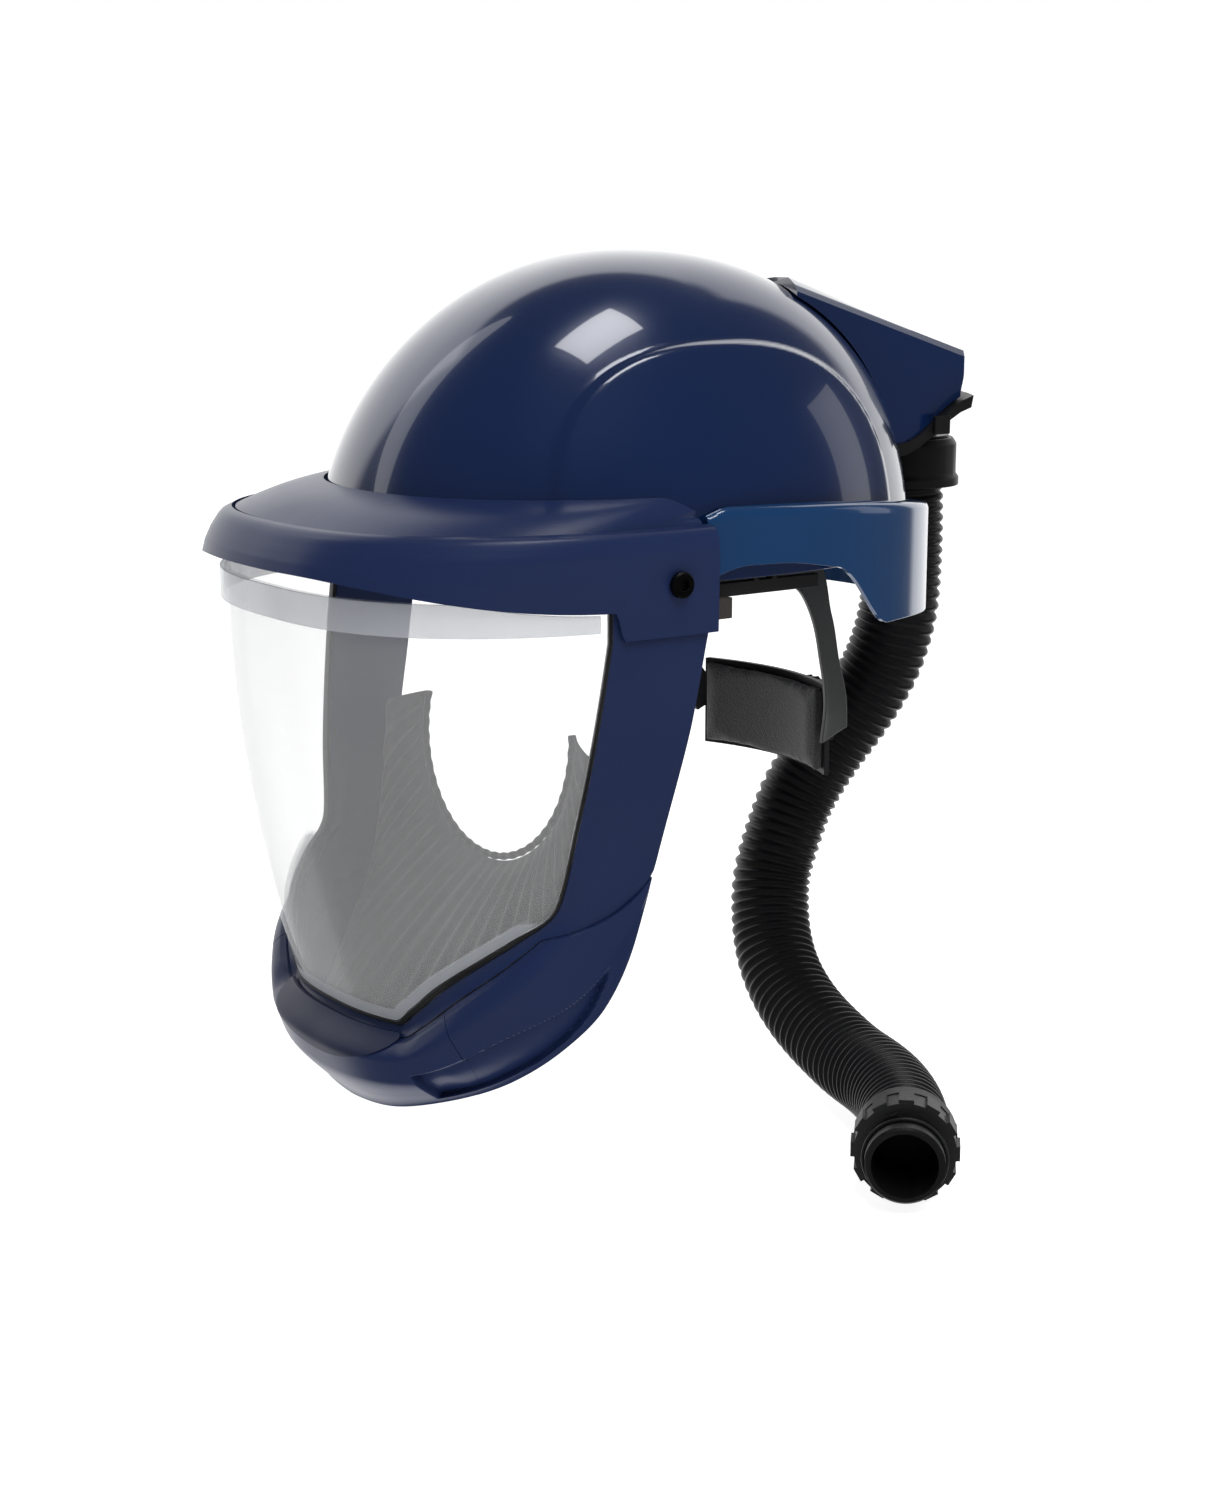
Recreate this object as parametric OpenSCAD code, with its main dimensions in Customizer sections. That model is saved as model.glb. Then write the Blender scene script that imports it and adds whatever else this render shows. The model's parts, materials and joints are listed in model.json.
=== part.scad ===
// Powered air respirator head top: a hard helmet shell with a hinged visor, a rear air duct,
// a nape ratchet and a breathing hose that ends in a bayonet connector.
// +Z is up, the wearer faces -Y, +X is the wearer's left. The origin is the centre of the head opening
// at the height of the visor hinges. Sizes are in millimetres.

/* [Shell] */
// Width of the helmet shell over its sides
shell_w = 224; // [200:1:270]
// Length of the helmet shell, front to back
shell_l = 290; // [250:1:350]
// Height of the helmet shell from its rim to its crown
shell_h = 138; // [120:1:170]
// Wall of the helmet shell
shell_wall = 3; // [2:0.5:4]
// Gap from the shell to the outside of the neck guard
guard_gap = 9; // [7:0.5:12]
// Wall of the neck guard, the brim and the visor frame
skin_wall = 2.5; // [2:0.25:3.5]

/* [Head] */
// Width of the headband
head_w = 156; // [130:1:190]
// Length of the headband
head_l = 196; // [165:1:235]
// Height of the headband strip
band_h = 30; // [24:1:36]
// Thickness of the headband and the crown straps
strap_t = 2; // [1.5:0.25:3]
// Width of a crown strap
strap_w = 20; // [14:1:26]

/* [Visor] */
// Reach of the brim in front of its hinge flaps
brim_reach = 160; // [140:1:185]
// Height of the clear pane below its top edge
pane_h = 197; // [165:1:236]
// Thickness of the clear pane
pane_t = 2; // [1.5:0.25:3]
// Depth of the chin guard below the pane
chin_depth = 46; // [38:1:55]
// How far the chin guard stands out in front of the pane
chin_bulge = 14; // [9:1:17]
// Radius of the hinge bush that the visor flap turns on
hinge_r = 4.5; // [4:0.25:5.5]
// Running clearance between a turning part and its seat
run_gap = 0.08; // [0.04:0.01:0.1]

/* [Air duct] */
// Half the width of the rear duct cover
duct_hw = 45; // [38:1:52]
// Bore of the air path through the spigot
duct_bore = 28; // [22:1:30]
// Outer diameter of the spigot that the hose cuff grips
spigot_d = 33; // [32:1:37]
// Outer diameter of the hose cuff
cuff_d = 56; // [52:1:60]

/* [Hose] */
// Outer diameter of the corrugated hose
hose_d = 41; // [37:1:43]
// Outer diameter of the connector barrel
barrel_d = 36; // [34:1:38]
// Bore of the connector barrel
barrel_bore = 30; // [26:1:31]
// Outer diameter of the grip ring
grip_d = 49; // [47:1:56]
// Length of the barrel in front of the grip ring
barrel_out = 17; // [15:1:24]

/* [Nape ratchet] */
// Diameter of the ratchet knob
knob_d = 34; // [28:1:40]
// Thickness of the ratchet knob
knob_t = 10; // [8:1:14]
// Diameter of the pinion shaft
shaft_d = 6; // [5:0.25:7]

/* [Hidden] */
$fn = 48;

gap = 0.3;
navy = [0.07, 0.13, 0.32];
black = [0.06, 0.06, 0.07];

// Helpers ------------------------------------------------------------------------------------

function spow(v, e) = v < 0 ? -pow(-v, e) : pow(v, e);
function smooth(t) = let (c = max(0, min(1, t))) c * c * (3 - 2 * c);
function mix(a, b, t) = a + (b - a) * t;
function oval(hw, hl, n, u) = [hw * spow(cos(u), 2 / n), hl * spow(sin(u), 2 / n)];
function table(rows, t) =
    let (last = len(rows) - 1, i = max(0, min(last - 1, floor(t))))
    mix(rows[i], rows[i + 1], t - i);
function both_sides(list) = concat(list, [for (i = [len(list) - 2:-1:0]) 180 - list[i]]);

// A skin between two grids of points: outer faces out, inner faces in. wrap joins the last column
// to the first, and crown closes the top rows with flat caps.
module skin(outer, inner, wrap = false, crown = false) {
    rows = len(outer);
    cols = len(outer[0]);
    count = rows * cols;
    span = wrap ? cols : cols - 1;
    points = concat([for (row = outer) each row], [for (row = inner) each row]);
    at = function(s, i, j) s * count + i * cols + j % cols;
    surface = [for (i = [0:rows - 2], j = [0:span - 1])
        each [[at(0, i, j), at(0, i + 1, j), at(0, i + 1, j + 1)],
            [at(0, i, j), at(0, i + 1, j + 1), at(0, i, j + 1)],
            [at(1, i, j), at(1, i + 1, j + 1), at(1, i + 1, j)],
            [at(1, i, j), at(1, i, j + 1), at(1, i + 1, j + 1)]]];
    foot = [for (j = [0:span - 1])
        each [[at(0, 0, j), at(0, 0, j + 1), at(1, 0, j + 1)],
            [at(0, 0, j), at(1, 0, j + 1), at(1, 0, j)]]];
    top = rows - 1;
    rim = [for (j = [0:span - 1])
        each [[at(0, top, j + 1), at(0, top, j), at(1, top, j)],
            [at(0, top, j + 1), at(1, top, j), at(1, top, j + 1)]]];
    caps = [[for (j = [cols - 1:-1:0]) at(0, top, j)], [for (j = [0:cols - 1]) at(1, top, j)]];
    end = cols - 1;
    ends = [for (i = [0:rows - 2])
        each [[at(0, i + 1, 0), at(0, i, 0), at(1, i, 0)],
            [at(0, i + 1, 0), at(1, i, 0), at(1, i + 1, 0)],
            [at(0, i, end), at(0, i + 1, end), at(1, i + 1, end)],
            [at(0, i, end), at(1, i + 1, end), at(1, i, end)]]];
    polyhedron(points, concat(surface, foot, crown ? caps : rim, wrap ? [] : ends));
}

// A solid rod: loops of points from one end to the other, closed by flat ends.
module rod(loops) {
    n = len(loops[0]);
    last = len(loops) - 1;
    at = function(i, j) i * n + j % n;
    side = [for (i = [0:last - 1], j = [0:n - 1])
        each [[at(i, j), at(i + 1, j), at(i + 1, j + 1)], [at(i, j), at(i + 1, j + 1), at(i, j + 1)]]];
    polyhedron([for (l = loops) each l],
        concat(side, [[for (j = [0:n - 1]) at(0, j)], [for (j = [n - 1:-1:0]) at(last, j)]]));
}

module turned(profile) rotate_extrude() polygon(profile);

module ring(r_out, r_in, h) {
    difference() {
        cylinder(r = r_out, h = h);
        translate([0, 0, -1]) cylinder(r = r_in, h = h + 2);
    }
}

module mirrored() {
    children();
    mirror([1, 0, 0]) children();
}

// Helmet shell -------------------------------------------------------------------------------

shell_y = 5;
shell_z = -3;
plan_n = 2.2;
crown_fullness = 2.13;
back_fullness = 0.13;
duct_hole_y = 120;
duct_hole_r = 13;

function shell_point(u, t, off = 0) =
    let (m = crown_fullness + back_fullness * sin(u), c = pow(cos(t), 2 / m), s = pow(sin(t), 2 / m),
        p = oval((shell_w / 2 + off) * c, (shell_l / 2 + off) * c, plan_n, u))
    [p.x, shell_y + p.y, shell_z + (shell_h + off) * s];

// Height of the shell's surface, moved out by off, above the point x, y.
function shell_height(x, y, off = 0) =
    let (px = abs(x) / (shell_w / 2 + off), py = abs(y - shell_y) / (shell_l / 2 + off),
        rho = pow(pow(px, plan_n) + pow(py, plan_n), 1 / plan_n),
        lean = (y < shell_y ? -1 : 1) * pow(py / max(rho, 0.001), plan_n / 2),
        m = crown_fullness + back_fullness * lean)
    shell_z + (shell_h + off) * pow(max(0, 1 - pow(rho, m)), 1 / m);

// Half-width of the shell's rim at y.
function shell_side(y) = shell_w / 2 * pow(1 - pow(abs(y - shell_y) / (shell_l / 2), plan_n), 1 / plan_n);

// How far back the shell reaches at the height z, moved out by off, in the plane of x.
function shell_reach(x, z, off = 0) =
    let (m = crown_fullness + back_fullness, rho = pow(1 - pow((z - shell_z) / (shell_h + off), m), 1 / m))
    shell_y + (shell_l / 2 + off)
        * pow(pow(rho, plan_n) - pow(abs(x) / (shell_w / 2 + off), plan_n), 1 / plan_n);

shell_levels = [0, 8, 16, 25, 34, 43, 52, 61, 70, 78, 85];
shell_angles = [for (i = [0:47]) i * 7.5];

module helmet_shell() color(navy) {
    difference() {
        skin([for (t = shell_levels) [for (u = shell_angles) shell_point(u, t)]],
            [for (t = shell_levels) [for (u = shell_angles) shell_point(u, t, -shell_wall)]],
            wrap = true, crown = true);
        translate([0, duct_hole_y, shell_height(0, duct_hole_y)]) rotate([-45, 0, 0])
            translate([0, 0, -15]) cylinder(r = duct_hole_r, h = 30);
    }
}

// Air duct -----------------------------------------------------------------------------------

duct_wall = 2.5;
sill_gap = 0.5;
duct_rear = 200;
duct_front = 74;
duct_nose = 14;
duct_tail = 20;
hose_y = 182;
base_t = 6;
spigot_top = 57;
spigot_foot = 20;
cuff_foot = 16;
cuff_top = 40;

// The duct cover's rows curve back in plan towards its tail, and its front edge curves round the crown.
function duct_y(y0, f) = y0 - duct_tail * smooth((y0 - 120) / 80) * pow(abs(f), 1.5)
    + duct_nose * (1 - smooth((y0 - duct_front) / 50)) * (1 - abs(f));
// Height of the cover's side edge, and of the rim that rests on the shell or on the duct base.
function duct_line(y) = 142.6 - 0.317 * y;
function duct_rim(y) = 42 + 22 * smooth((y - 138) / 50);
function duct_sill(x, y) = max(shell_height(x, y, sill_gap), duct_rim(y));

cover_rows = [duct_front, 78, 83, 90, 100, 112, 124, 136, 148, 160, 172, 184, 194];
cover_profile = [[-1, 0], [-1, 0.5], [-1, 1], [-0.89, 1.6], [-0.76, 2], [-0.4, 2.25], [0, 2.35],
    [0.4, 2.25], [0.76, 2], [0.89, 1.6], [1, 1], [1, 0.5], [1, 0]];

// One point of the cover: f runs across, level climbs from the sill (0) over the edge (1) to the top (2).
function cover_point(y0, f, level, in = 0) =
    let (hw = duct_hw - in, x = f * hw, y = duct_y(y0, f),
        sill = duct_sill(x, y), flange = sill + 2 - 0.45 * in,
        bevel = 0.6 + 3.2 * (1 - smooth((y - 70) / 120)))
    [x, y, level <= 1 ? mix(sill, max(flange, duct_line(y) - in), level)
        : max(flange, duct_line(y) - in + (level - 1) * bevel)];

module duct_cover() color(navy) {
    last = duct_rear - duct_wall;
    outer_rows = concat(cover_rows, [last, last + 0.2, duct_rear]);
    outer = [for (y0 = outer_rows) [for (p = cover_profile) cover_point(y0, p[0], p[1])]];
    inner = [for (i = [0:len(outer_rows) - 1]) let (y0 = outer_rows[i])
        i == 0 || y0 > last + 0.1
        ? [for (j = [0:12]) cover_point(i == 0 ? y0 : min(y0, duct_rear), (j / 6 - 1) * 0.99, 0, duct_wall)]
        : [for (p = cover_profile) cover_point(y0, p[0], p[1], duct_wall)]];
    mirror([1, 0, 0]) skin(outer, inner);
}

module duct_base() color(black) {
    across = [-1, -0.75, -0.5, -0.25, 0, 0.25, 0.5, 0.75, 1];
    hw = duct_hw + 2;
    top = [for (k = [0:7]) [for (f = across)
        let (y = mix(shell_reach(f * hw, duct_rim(138) - base_t, 1), duct_y(duct_rear + 5, f), k / 7))
        [f * hw, y, duct_rim(y) - sill_gap]]];
    foot = [for (row = top) [for (p = row) [p.x * 0.97, p.y, p.z - base_t]]];
    difference() {
        mirror([1, 0, 0]) skin(top, foot);
        translate([0, hose_y, 0]) cylinder(r = spigot_d / 2, h = 100);
    }
}

module duct_clips() color(black) mirrored() {
    y = 163;
    translate([duct_hw + 2.4, y - 5, duct_rim(y) - base_t - 1.5]) cube([2, 10, base_t + 3]);
}

// A soft washer squeezed between the duct base and the hose cuff.
module duct_seal() color(black) {
    translate([0, hose_y, cuff_top + gap / 2]) ring(cuff_d / 2 - 5.5, spigot_d / 2 + 0.2, 1.2);
}

module air_spigot() color(black) {
    translate([0, hose_y, 0]) turned([[duct_bore / 2, spigot_foot], [spigot_d / 2 - 0.05, spigot_foot],
        [spigot_d / 2 - 0.05, spigot_top], [duct_bore / 2, spigot_top]]);
}

module spigot_oring() color(black) {
    translate([0, hose_y, spigot_top + 0.9]) rotate_extrude()
        translate([spigot_d / 2 - 1.2, 0]) circle(r = 0.8);
}

module hose_cuff_top() color(black) {
    translate([0, hose_y, 0]) turned([[spigot_d / 2 + 0.05, cuff_foot], [cuff_d / 2, cuff_foot],
        [cuff_d / 2, cuff_foot + 4], [cuff_d / 2 - 1.5, cuff_foot + 6], [cuff_d / 2 - 1.5, cuff_top - 3],
        [cuff_d / 2 - 3.5, cuff_top], [spigot_d / 2 + 0.05, cuff_top]]);
}

// Two screws draw the duct base up against the cover.
module cover_screws() color([0.5, 0.5, 0.52]) mirrored() {
    y = 164;
    translate([duct_hw - 12, y, duct_rim(y) - base_t - 5.4]) {
        cylinder(r = 4, h = 2.2);
        translate([0, 0, -0.6]) cylinder(r1 = 3, r2 = 4, h = 0.6);
    }
}

channel_hw = 24;
channel_depth = 8;
channel_rows = [112, 96, 76, 52, 26, 0, -26, -50, -72, -90, -104, -114];

// A tray under the crown that leads the air from the rear hole to the brow.
module air_channel() {
    function tray(hw, rise) = [for (y = channel_rows)
        let (z = shell_height(channel_hw, y, -shell_wall - 1))
        [[-hw, y, z], [-hw, y, z - rise], [0, y, z - rise], [hw, y, z - rise], [hw, y, z]]];
    color([0.2, 0.2, 0.22])
        skin(tray(channel_hw, channel_depth), tray(channel_hw - 1.5, channel_depth - 1.5));
}

// The vented mouth of the channel above the brow.
module air_outlet() color([0.12, 0.12, 0.13]) {
    y = channel_rows[len(channel_rows) - 1] - 3.4;
    top = shell_height(channel_hw, y, -shell_wall - 1) - 0.6;
    difference() {
        translate([-channel_hw, y, top - channel_depth]) cube([2 * channel_hw, 3, channel_depth]);
        for (x = [-18:6:18])
            translate([x - 1.5, y - 1, top - channel_depth + 2]) cube([3, 5, channel_depth - 4]);
    }
}

// Peak cover and neck guard ------------------------------------------------------------------

hinge_y = -52;
brim_y = -31;
brim_n = 2.6;
brim_hw = shell_w / 2 + 13;
lip_in = 9;
lip_z = 23;
peak_z = 34;
peak_t = 2;

lip_hw = brim_hw - lip_in;
lip_reach = brim_reach - 14.5;

brim_angles = both_sides([0, 5, 9, 12, 14, 18, 24, 32, 42, 54, 66, 78, 90]);

// The sloped cover between the shell and the brim's lip.
module peak_cover() {
    function edge(u, drop) =
        let (p = oval(lip_hw - 1.2, lip_reach - 1.6, brim_n, -u))
        [p.x, brim_y + p.y, lip_z - 0.4 - 3 * (1 - smooth(min(u, 180 - u) / 16)) - drop];
    function root(u, drop) =
        let (s = max(7, min(173, u)), rise = peak_z - 9 * (1 - smooth((min(u, 180 - u) - 3) / 11)),
            t = asin(pow((rise - shell_z) / (shell_h + 0.6), 1.05)),
            p = shell_point(-(90 + (s - 90) * 0.93), t, 0.9))
        [p.x, p.y, rise - drop];
    outer = [for (k = [0:3]) [for (u = brim_angles) mix(edge(u, 0), root(u, 0), k / 3)
        + [0, 0, 1.6 * sin(60 * k)]]];
    inner = [for (row = outer) [for (p = row) p - [0, 0, peak_t]]];
    color(navy) mirror([1, 0, 0]) skin(outer, inner);
}

guard_draw = 4.5;
guard_angles = both_sides([-11.4, -9, -6, -3, 1, 5, 9, 12, 14, 16, 18, 20, 22, 24, 27, 32, 40, 50, 62,
    76, 90]);

function guard_side(u) = min(u, 180 - u);
function guard_top(u) = 28.5 - 15.5 * smooth((guard_side(u) + 10) / 100)
    - 4 * smooth((-7 - guard_side(u)) / 6);
function guard_foot(u) = let (side = guard_side(u))
    3.5 - 8.5 * smooth((-3.5 - side) / 13) - 5 * smooth(side / 14) - 29 * smooth((side - 11) / 15)
    - 4 * smooth((side - 25) / 40);

// The guard draws in towards the shell at its front ends, inside the visor's flaps.
function guard_out(u, off) =
    off - (off > guard_draw ? guard_draw * (1 - smooth((guard_side(u) + 7.5) / 11.5)) : 0);
function guard_point(u, off, z) =
    let (o = guard_out(u, off), p = oval(shell_w / 2 + o, shell_l / 2 + o, plan_n, u))
    [p.x, shell_y + p.y, z];

module neck_guard() color(navy) {
    w = skin_wall;
    outer = [[for (u = guard_angles) guard_point(u, guard_gap, guard_foot(u))],
        [for (u = guard_angles) guard_point(u, guard_gap, mix(guard_foot(u), guard_top(u), 0.5))],
        [for (u = guard_angles) guard_point(u, guard_gap, guard_top(u) - 3)],
        [for (u = guard_angles) guard_point(u, guard_gap - 2, guard_top(u))],
        [for (u = guard_angles) guard_point(u, 0.8, guard_top(u) + 0.6)]];
    inner = [[for (u = guard_angles) guard_point(u, guard_gap - w, guard_foot(u))],
        [for (u = guard_angles) guard_point(u, guard_gap - w, mix(guard_foot(u), guard_top(u), 0.5))],
        [for (u = guard_angles) guard_point(u, guard_gap - w, guard_top(u) - 5)],
        [for (u = guard_angles) guard_point(u, guard_gap - w - 1, guard_top(u) - w)],
        [for (u = guard_angles) guard_point(u, 0.8, guard_top(u) - w + 0.4)]];
    skin(outer, inner);
}

// Hinge --------------------------------------------------------------------------------------

bracket_x = shell_w / 2 - 0.5;
bracket_t = 4;
flap_in = brim_hw - skin_wall - 0.8;
stub_x = brim_hw + 0.6;

// A plate on the shell's side that carries the visor hinge and the side rail.
module bracket() color([0.3, 0.28, 0.27]) {
    difference() {
        union() {
            translate([bracket_x, hinge_y, -14]) cube([bracket_t, 16, 24]);
            translate([bracket_x, hinge_y, 0]) rotate([0, 90, 0]) cylinder(r = 12, h = bracket_t);
            translate([bracket_x, hinge_y, -19]) cube([bracket_t - 1, 36, 9]);
            translate([shell_side(-36) + gap, -40, 5]) rotate([0, 90, 0])
                cylinder(r = 4, h = bracket_x - shell_side(-36));
            translate([bracket_x - 4, -24, -19]) cube([5, 6, 9]);
        }
        translate([bracket_x - 1, hinge_y, 0]) rotate([0, 90, 0]) cylinder(r = 4, h = bracket_t + 2);
    }
}

module side_bracket_left() bracket();
module side_bracket_right() mirror([1, 0, 0]) bracket();

module hinge_bushes() color([0.45, 0.45, 0.47]) mirrored() {
    translate([bracket_x, hinge_y, 0]) rotate([0, 90, 0]) turned([[2.5, 0], [3.95, 0],
        [3.95, bracket_t + 0.1], [hinge_r + 3, bracket_t + 0.1], [hinge_r + 3, flap_in - 1.3 - bracket_x],
        [hinge_r, flap_in - 1.3 - bracket_x], [hinge_r, stub_x - bracket_x], [2.5, stub_x - bracket_x]]);
}

module friction_washers() color([0.7, 0.7, 0.7]) mirrored() {
    translate([flap_in - 1.2, hinge_y, 0]) rotate([0, 90, 0]) ring(hinge_r + 3, hinge_r + 0.1, 0.9);
}

module hinge_screws() color([0.1, 0.1, 0.1]) mirrored() {
    translate([0, hinge_y, 0]) rotate([0, 90, 0]) difference() {
        union() {
            translate([0, 0, bracket_x + 0.5]) cylinder(r = 2.45, h = stub_x - bracket_x + 0.5);
            translate([0, 0, stub_x + 0.1]) cylinder(r = hinge_r + 1.2, h = 2);
            translate([0, 0, stub_x + 2.1]) cylinder(r1 = hinge_r + 1.2, r2 = hinge_r + 0.4, h = 0.8);
        }
        translate([0, 0, stub_x + 1.4]) cylinder(r = 2.6, h = 5, $fn = 6);
    }
}

// Head harness -------------------------------------------------------------------------------

head_y = 3;
head_n = 2.1;
band_low = -12;
band_end = 22;
crown_z = 106;

function head_point(u, off, z) =
    let (p = oval(head_w / 2 + off, head_l / 2 + off, head_n, u)) [p.x, head_y + p.y, z];

module headband() color([0.12, 0.12, 0.13]) {
    angles = [for (i = [0:32]) band_end - i * (180 + 2 * band_end) / 32];
    outer = [for (z = [band_low, band_low + band_h]) [for (u = angles) head_point(u, 0, z)]];
    inner = [for (row = outer) [for (j = [0:len(angles) - 1]) head_point(angles[j], -strap_t, row[j].z)]];
    skin(inner, outer);
}

// The foam strip inside the front of the headband.
module sweatband() color([0.16, 0.16, 0.17]) {
    angles = [for (i = [0:20]) -25 - i * 6.5];
    far = -strap_t - gap;
    inner = [for (z = [band_low + 1, band_low + band_h - 1]) [for (u = angles) head_point(u, far - 4, z)]];
    outer = [for (z = [band_low + 1, band_low + band_h - 1]) [for (u = angles) head_point(u, far, z)]];
    skin(inner, outer);
}

strap_foot = 6;
strap_steps = 18;

// A webbing strap over the head: along y when turn is 0, along x when it is 90.
module crown_strap(reach, rise, centre, turn) {
    function arc(r, h, x) = [for (i = [0:strap_steps]) let (a = 180 * i / strap_steps)
        [x, centre + r * spow(cos(a), 0.95), strap_foot + h * spow(sin(a), 0.95)]];
    rotate([0, 0, turn]) skin(
        [for (x = [-strap_w / 2, strap_w / 2]) arc(reach + strap_t, rise + strap_t, x)],
        [for (x = [-strap_w / 2, strap_w / 2]) arc(reach, rise, x)]);
}

strap_rise = crown_z - strap_foot;
strap_slack = 1.4;

module crown_strap_long() color([0.1, 0.1, 0.1]) {
    mirror([1, 0, 0]) crown_strap(head_l / 2 + strap_slack, strap_rise, head_y, 0);
}

module crown_strap_cross() color([0.1, 0.1, 0.1]) {
    mirror([0, 1, 0]) crown_strap(head_w / 2 + strap_slack, strap_rise + strap_t + strap_slack, 0, 90);
}

module crown_pad() color([0.16, 0.16, 0.17]) {
    translate([0, 0, crown_z - 8.4]) linear_extrude(4.8) square([46, 46], center = true);
}

// Four arms that hang the headband from the shell.
module harness_hooks() color([0.15, 0.15, 0.16]) {
    for (u = [-62, -118, 62, 118]) {
        a = head_point(u, 0.5, 0);
        b = shell_point(u, 5, -shell_wall - 1.4);
        run = norm([b.x - a.x, b.y - a.y]);
        turn = atan2(b.y - a.y, b.x - a.x);
        translate([a.x, a.y, 4]) rotate([0, 0, turn]) {
            translate([0, -6, 0]) cube([run - 1, 12, 3]);
            translate([0, -6, -6]) cube([2, 12, 6.1]);
            translate([run - 3, -6, 2.9]) cube([2, 12, 7]);
        }
    }
}

// The side rail under the neck guard, with the hook that holds a cord or a lens frame.
module rail() color([0.13, 0.13, 0.14]) {
    x = bracket_x - 4;
    translate([x - 4.3, -24, -11]) cube([4, 62, 6]);
    translate([x - 4.3, 8, -2]) rotate([0, 90, 0]) difference() {
        cylinder(r = 7, h = 4);
        translate([0, 0, -1]) cylinder(r = 4.5, h = 6);
        translate([-8, -3, -1]) cube([6, 6, 6]);
    }
}

module rail_left() rail();
module rail_right() mirror([1, 0, 0]) rail();

// Nape cradle --------------------------------------------------------------------------------

arm_x = head_w / 2 + 2.6;
guide_t = 0.8;

arm_route = [[arm_x, 27, 3], [arm_x, 43, -1], [80.2, 56, -12], [77, 67, -33], [70.5, 77, -54],
    [61, 89, -77], [51, 97, -96]];
arm_widths = [22, 22, 17, 11, 11, 14, 17];
arm_t = 2.5;
plate_y = 104;
plate_low = -116;
plate_high = -72;
plate_hw = 46;
house_t = 10;
house_y = plate_y + 3.3;
knob_z = -94;
knob_y = house_y + house_t + 0.4;

module nape_arm() {
    steps = 2 * (len(arm_route) - 1);
    function centre(i) = table(arm_route, i / 2);
    function spread(i) = let (d = centre(min(steps, i + 1)) - centre(max(0, i - 1)), n = norm([d.y, d.z]))
        [0, -d.z, d.y] / n * table(arm_widths, i / 2) / 2;
    outer = [for (s = [-1, 1]) [for (i = [0:steps]) centre(i) + s * spread(i)]];
    inner = [for (row = outer) [for (p = row) p - [arm_t, 0, 0]]];
    color([0.32, 0.32, 0.34]) skin(outer, inner);
}

// Small blocks on the headband's ends that the arms slide along.
module band_guides() color([0.1, 0.1, 0.11]) mirrored() {
    translate([arm_x - arm_t - gap - guide_t, 23, -4]) cube([guide_t, 6, 12]);
}

module nape_arm_left() nape_arm();
module nape_arm_right() mirror([1, 0, 0]) nape_arm();

function nape_curve(x, y) = y - 10 * pow(abs(x) / plate_hw, 2);

module nape_sheet(y_in, y_out, low, high, hw) {
    xs = [for (i = [0:12]) hw * (i / 6 - 1)];
    skin([for (z = [low, high]) [for (x = xs) [-x, nape_curve(x, y_out), z]]],
        [for (z = [low, high]) [for (x = xs) [-x, nape_curve(x, y_in), z]]]);
}

module nape_plate() color([0.1, 0.1, 0.11])
    nape_sheet(plate_y, plate_y + 3, plate_low, plate_high, plate_hw + 2);

module nape_pad() color([0.15, 0.15, 0.16])
    nape_sheet(plate_y - 6.3, plate_y - gap, plate_low + 2, plate_high - 2, plate_hw - 2);

module ratchet_housing() color([0.1, 0.1, 0.11]) {
    translate([0, house_y, knob_z]) rotate([-90, 0, 0]) difference() {
        linear_extrude(house_t) union() {
            square([52, 22], center = true);
            circle(r = 16);
        }
        translate([0, 0, 2]) cylinder(r = shaft_d / 2 + run_gap, h = house_t);
        translate([0, 0, 2]) cylinder(r = 8.5, h = 5);
    }
}

module pinion_shaft() color([0.75, 0.75, 0.72]) {
    translate([0, house_y + 2.2, knob_z]) rotate([-90, 0, 0]) {
        cylinder(r = shaft_d / 2, h = house_t + knob_t - 5);
        for (i = [0:9]) rotate([0, 0, i * 36])
            translate([shaft_d / 2 - 0.5, -0.9, 0.1]) cube([3.2, 1.8, 4.4]);
    }
}

module ratchet_knob() color(black) {
    translate([0, knob_y, knob_z]) rotate([-90, 0, 0]) difference() {
        union() {
            cylinder(r = knob_d / 2 - 1, h = knob_t - 1);
            translate([0, 0, knob_t - 1]) cylinder(r1 = knob_d / 2 - 1, r2 = knob_d / 2 - 2.5, h = 1);
            for (i = [0:17]) rotate([0, 0, i * 20])
                translate([knob_d / 2 - 1.5, 0, 0]) cylinder(r = 1.4, h = knob_t - 1.5);
        }
        translate([0, 0, -1]) cylinder(r = shaft_d / 2 + 0.01, h = knob_t - 2);
        translate([0, 0, knob_t - 3]) cylinder(r = 5.5, h = 4);
        translate([0, 0, -1]) cylinder(r = 1.5, h = knob_t);
    }
}

module knob_screw() color([0.6, 0.6, 0.62]) {
    translate([0, knob_y + knob_t - 2.9, knob_z]) rotate([-90, 0, 0]) difference() {
        cylinder(r = 3.5, h = 2);
        translate([0, 0, 1]) cylinder(r = 1.6, h = 2, $fn = 6);
    }
}

// Visor --------------------------------------------------------------------------------------

visor_y = -34;
visor_top = -15;
visor_hw = brim_hw - 3;
visor_front = 180;
visor_n = 2.6;
chin_narrow = 28;
frame_top = -22.5;

// The visor's surface: narrower and set back towards the chin. u is 0 at the wearer's left side.
function visor_fall(z) = max(0, (visor_top - z) / 185);
function visor_w(z) = visor_hw - chin_narrow * pow(visor_fall(z), 2);
function visor_l(z) = visor_front - 28 * pow(visor_fall(z), 2) + visor_y;
function visor_point(u, z, off = 0) =
    let (p = oval(visor_w(z) + off, visor_l(z) + off, visor_n, -u)) [p.x, visor_y + p.y, z];
// Angles of the places where the surface crosses a given y or a given x.
function side_u(y, z) = asin(pow(max(0, visor_y - y) / visor_l(z), visor_n / 2));
function front_u(x, z) = acos(pow(x / visor_w(z), visor_n / 2));

chin_z = -pane_h - chin_depth;
drop = pane_h - 197;
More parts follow.
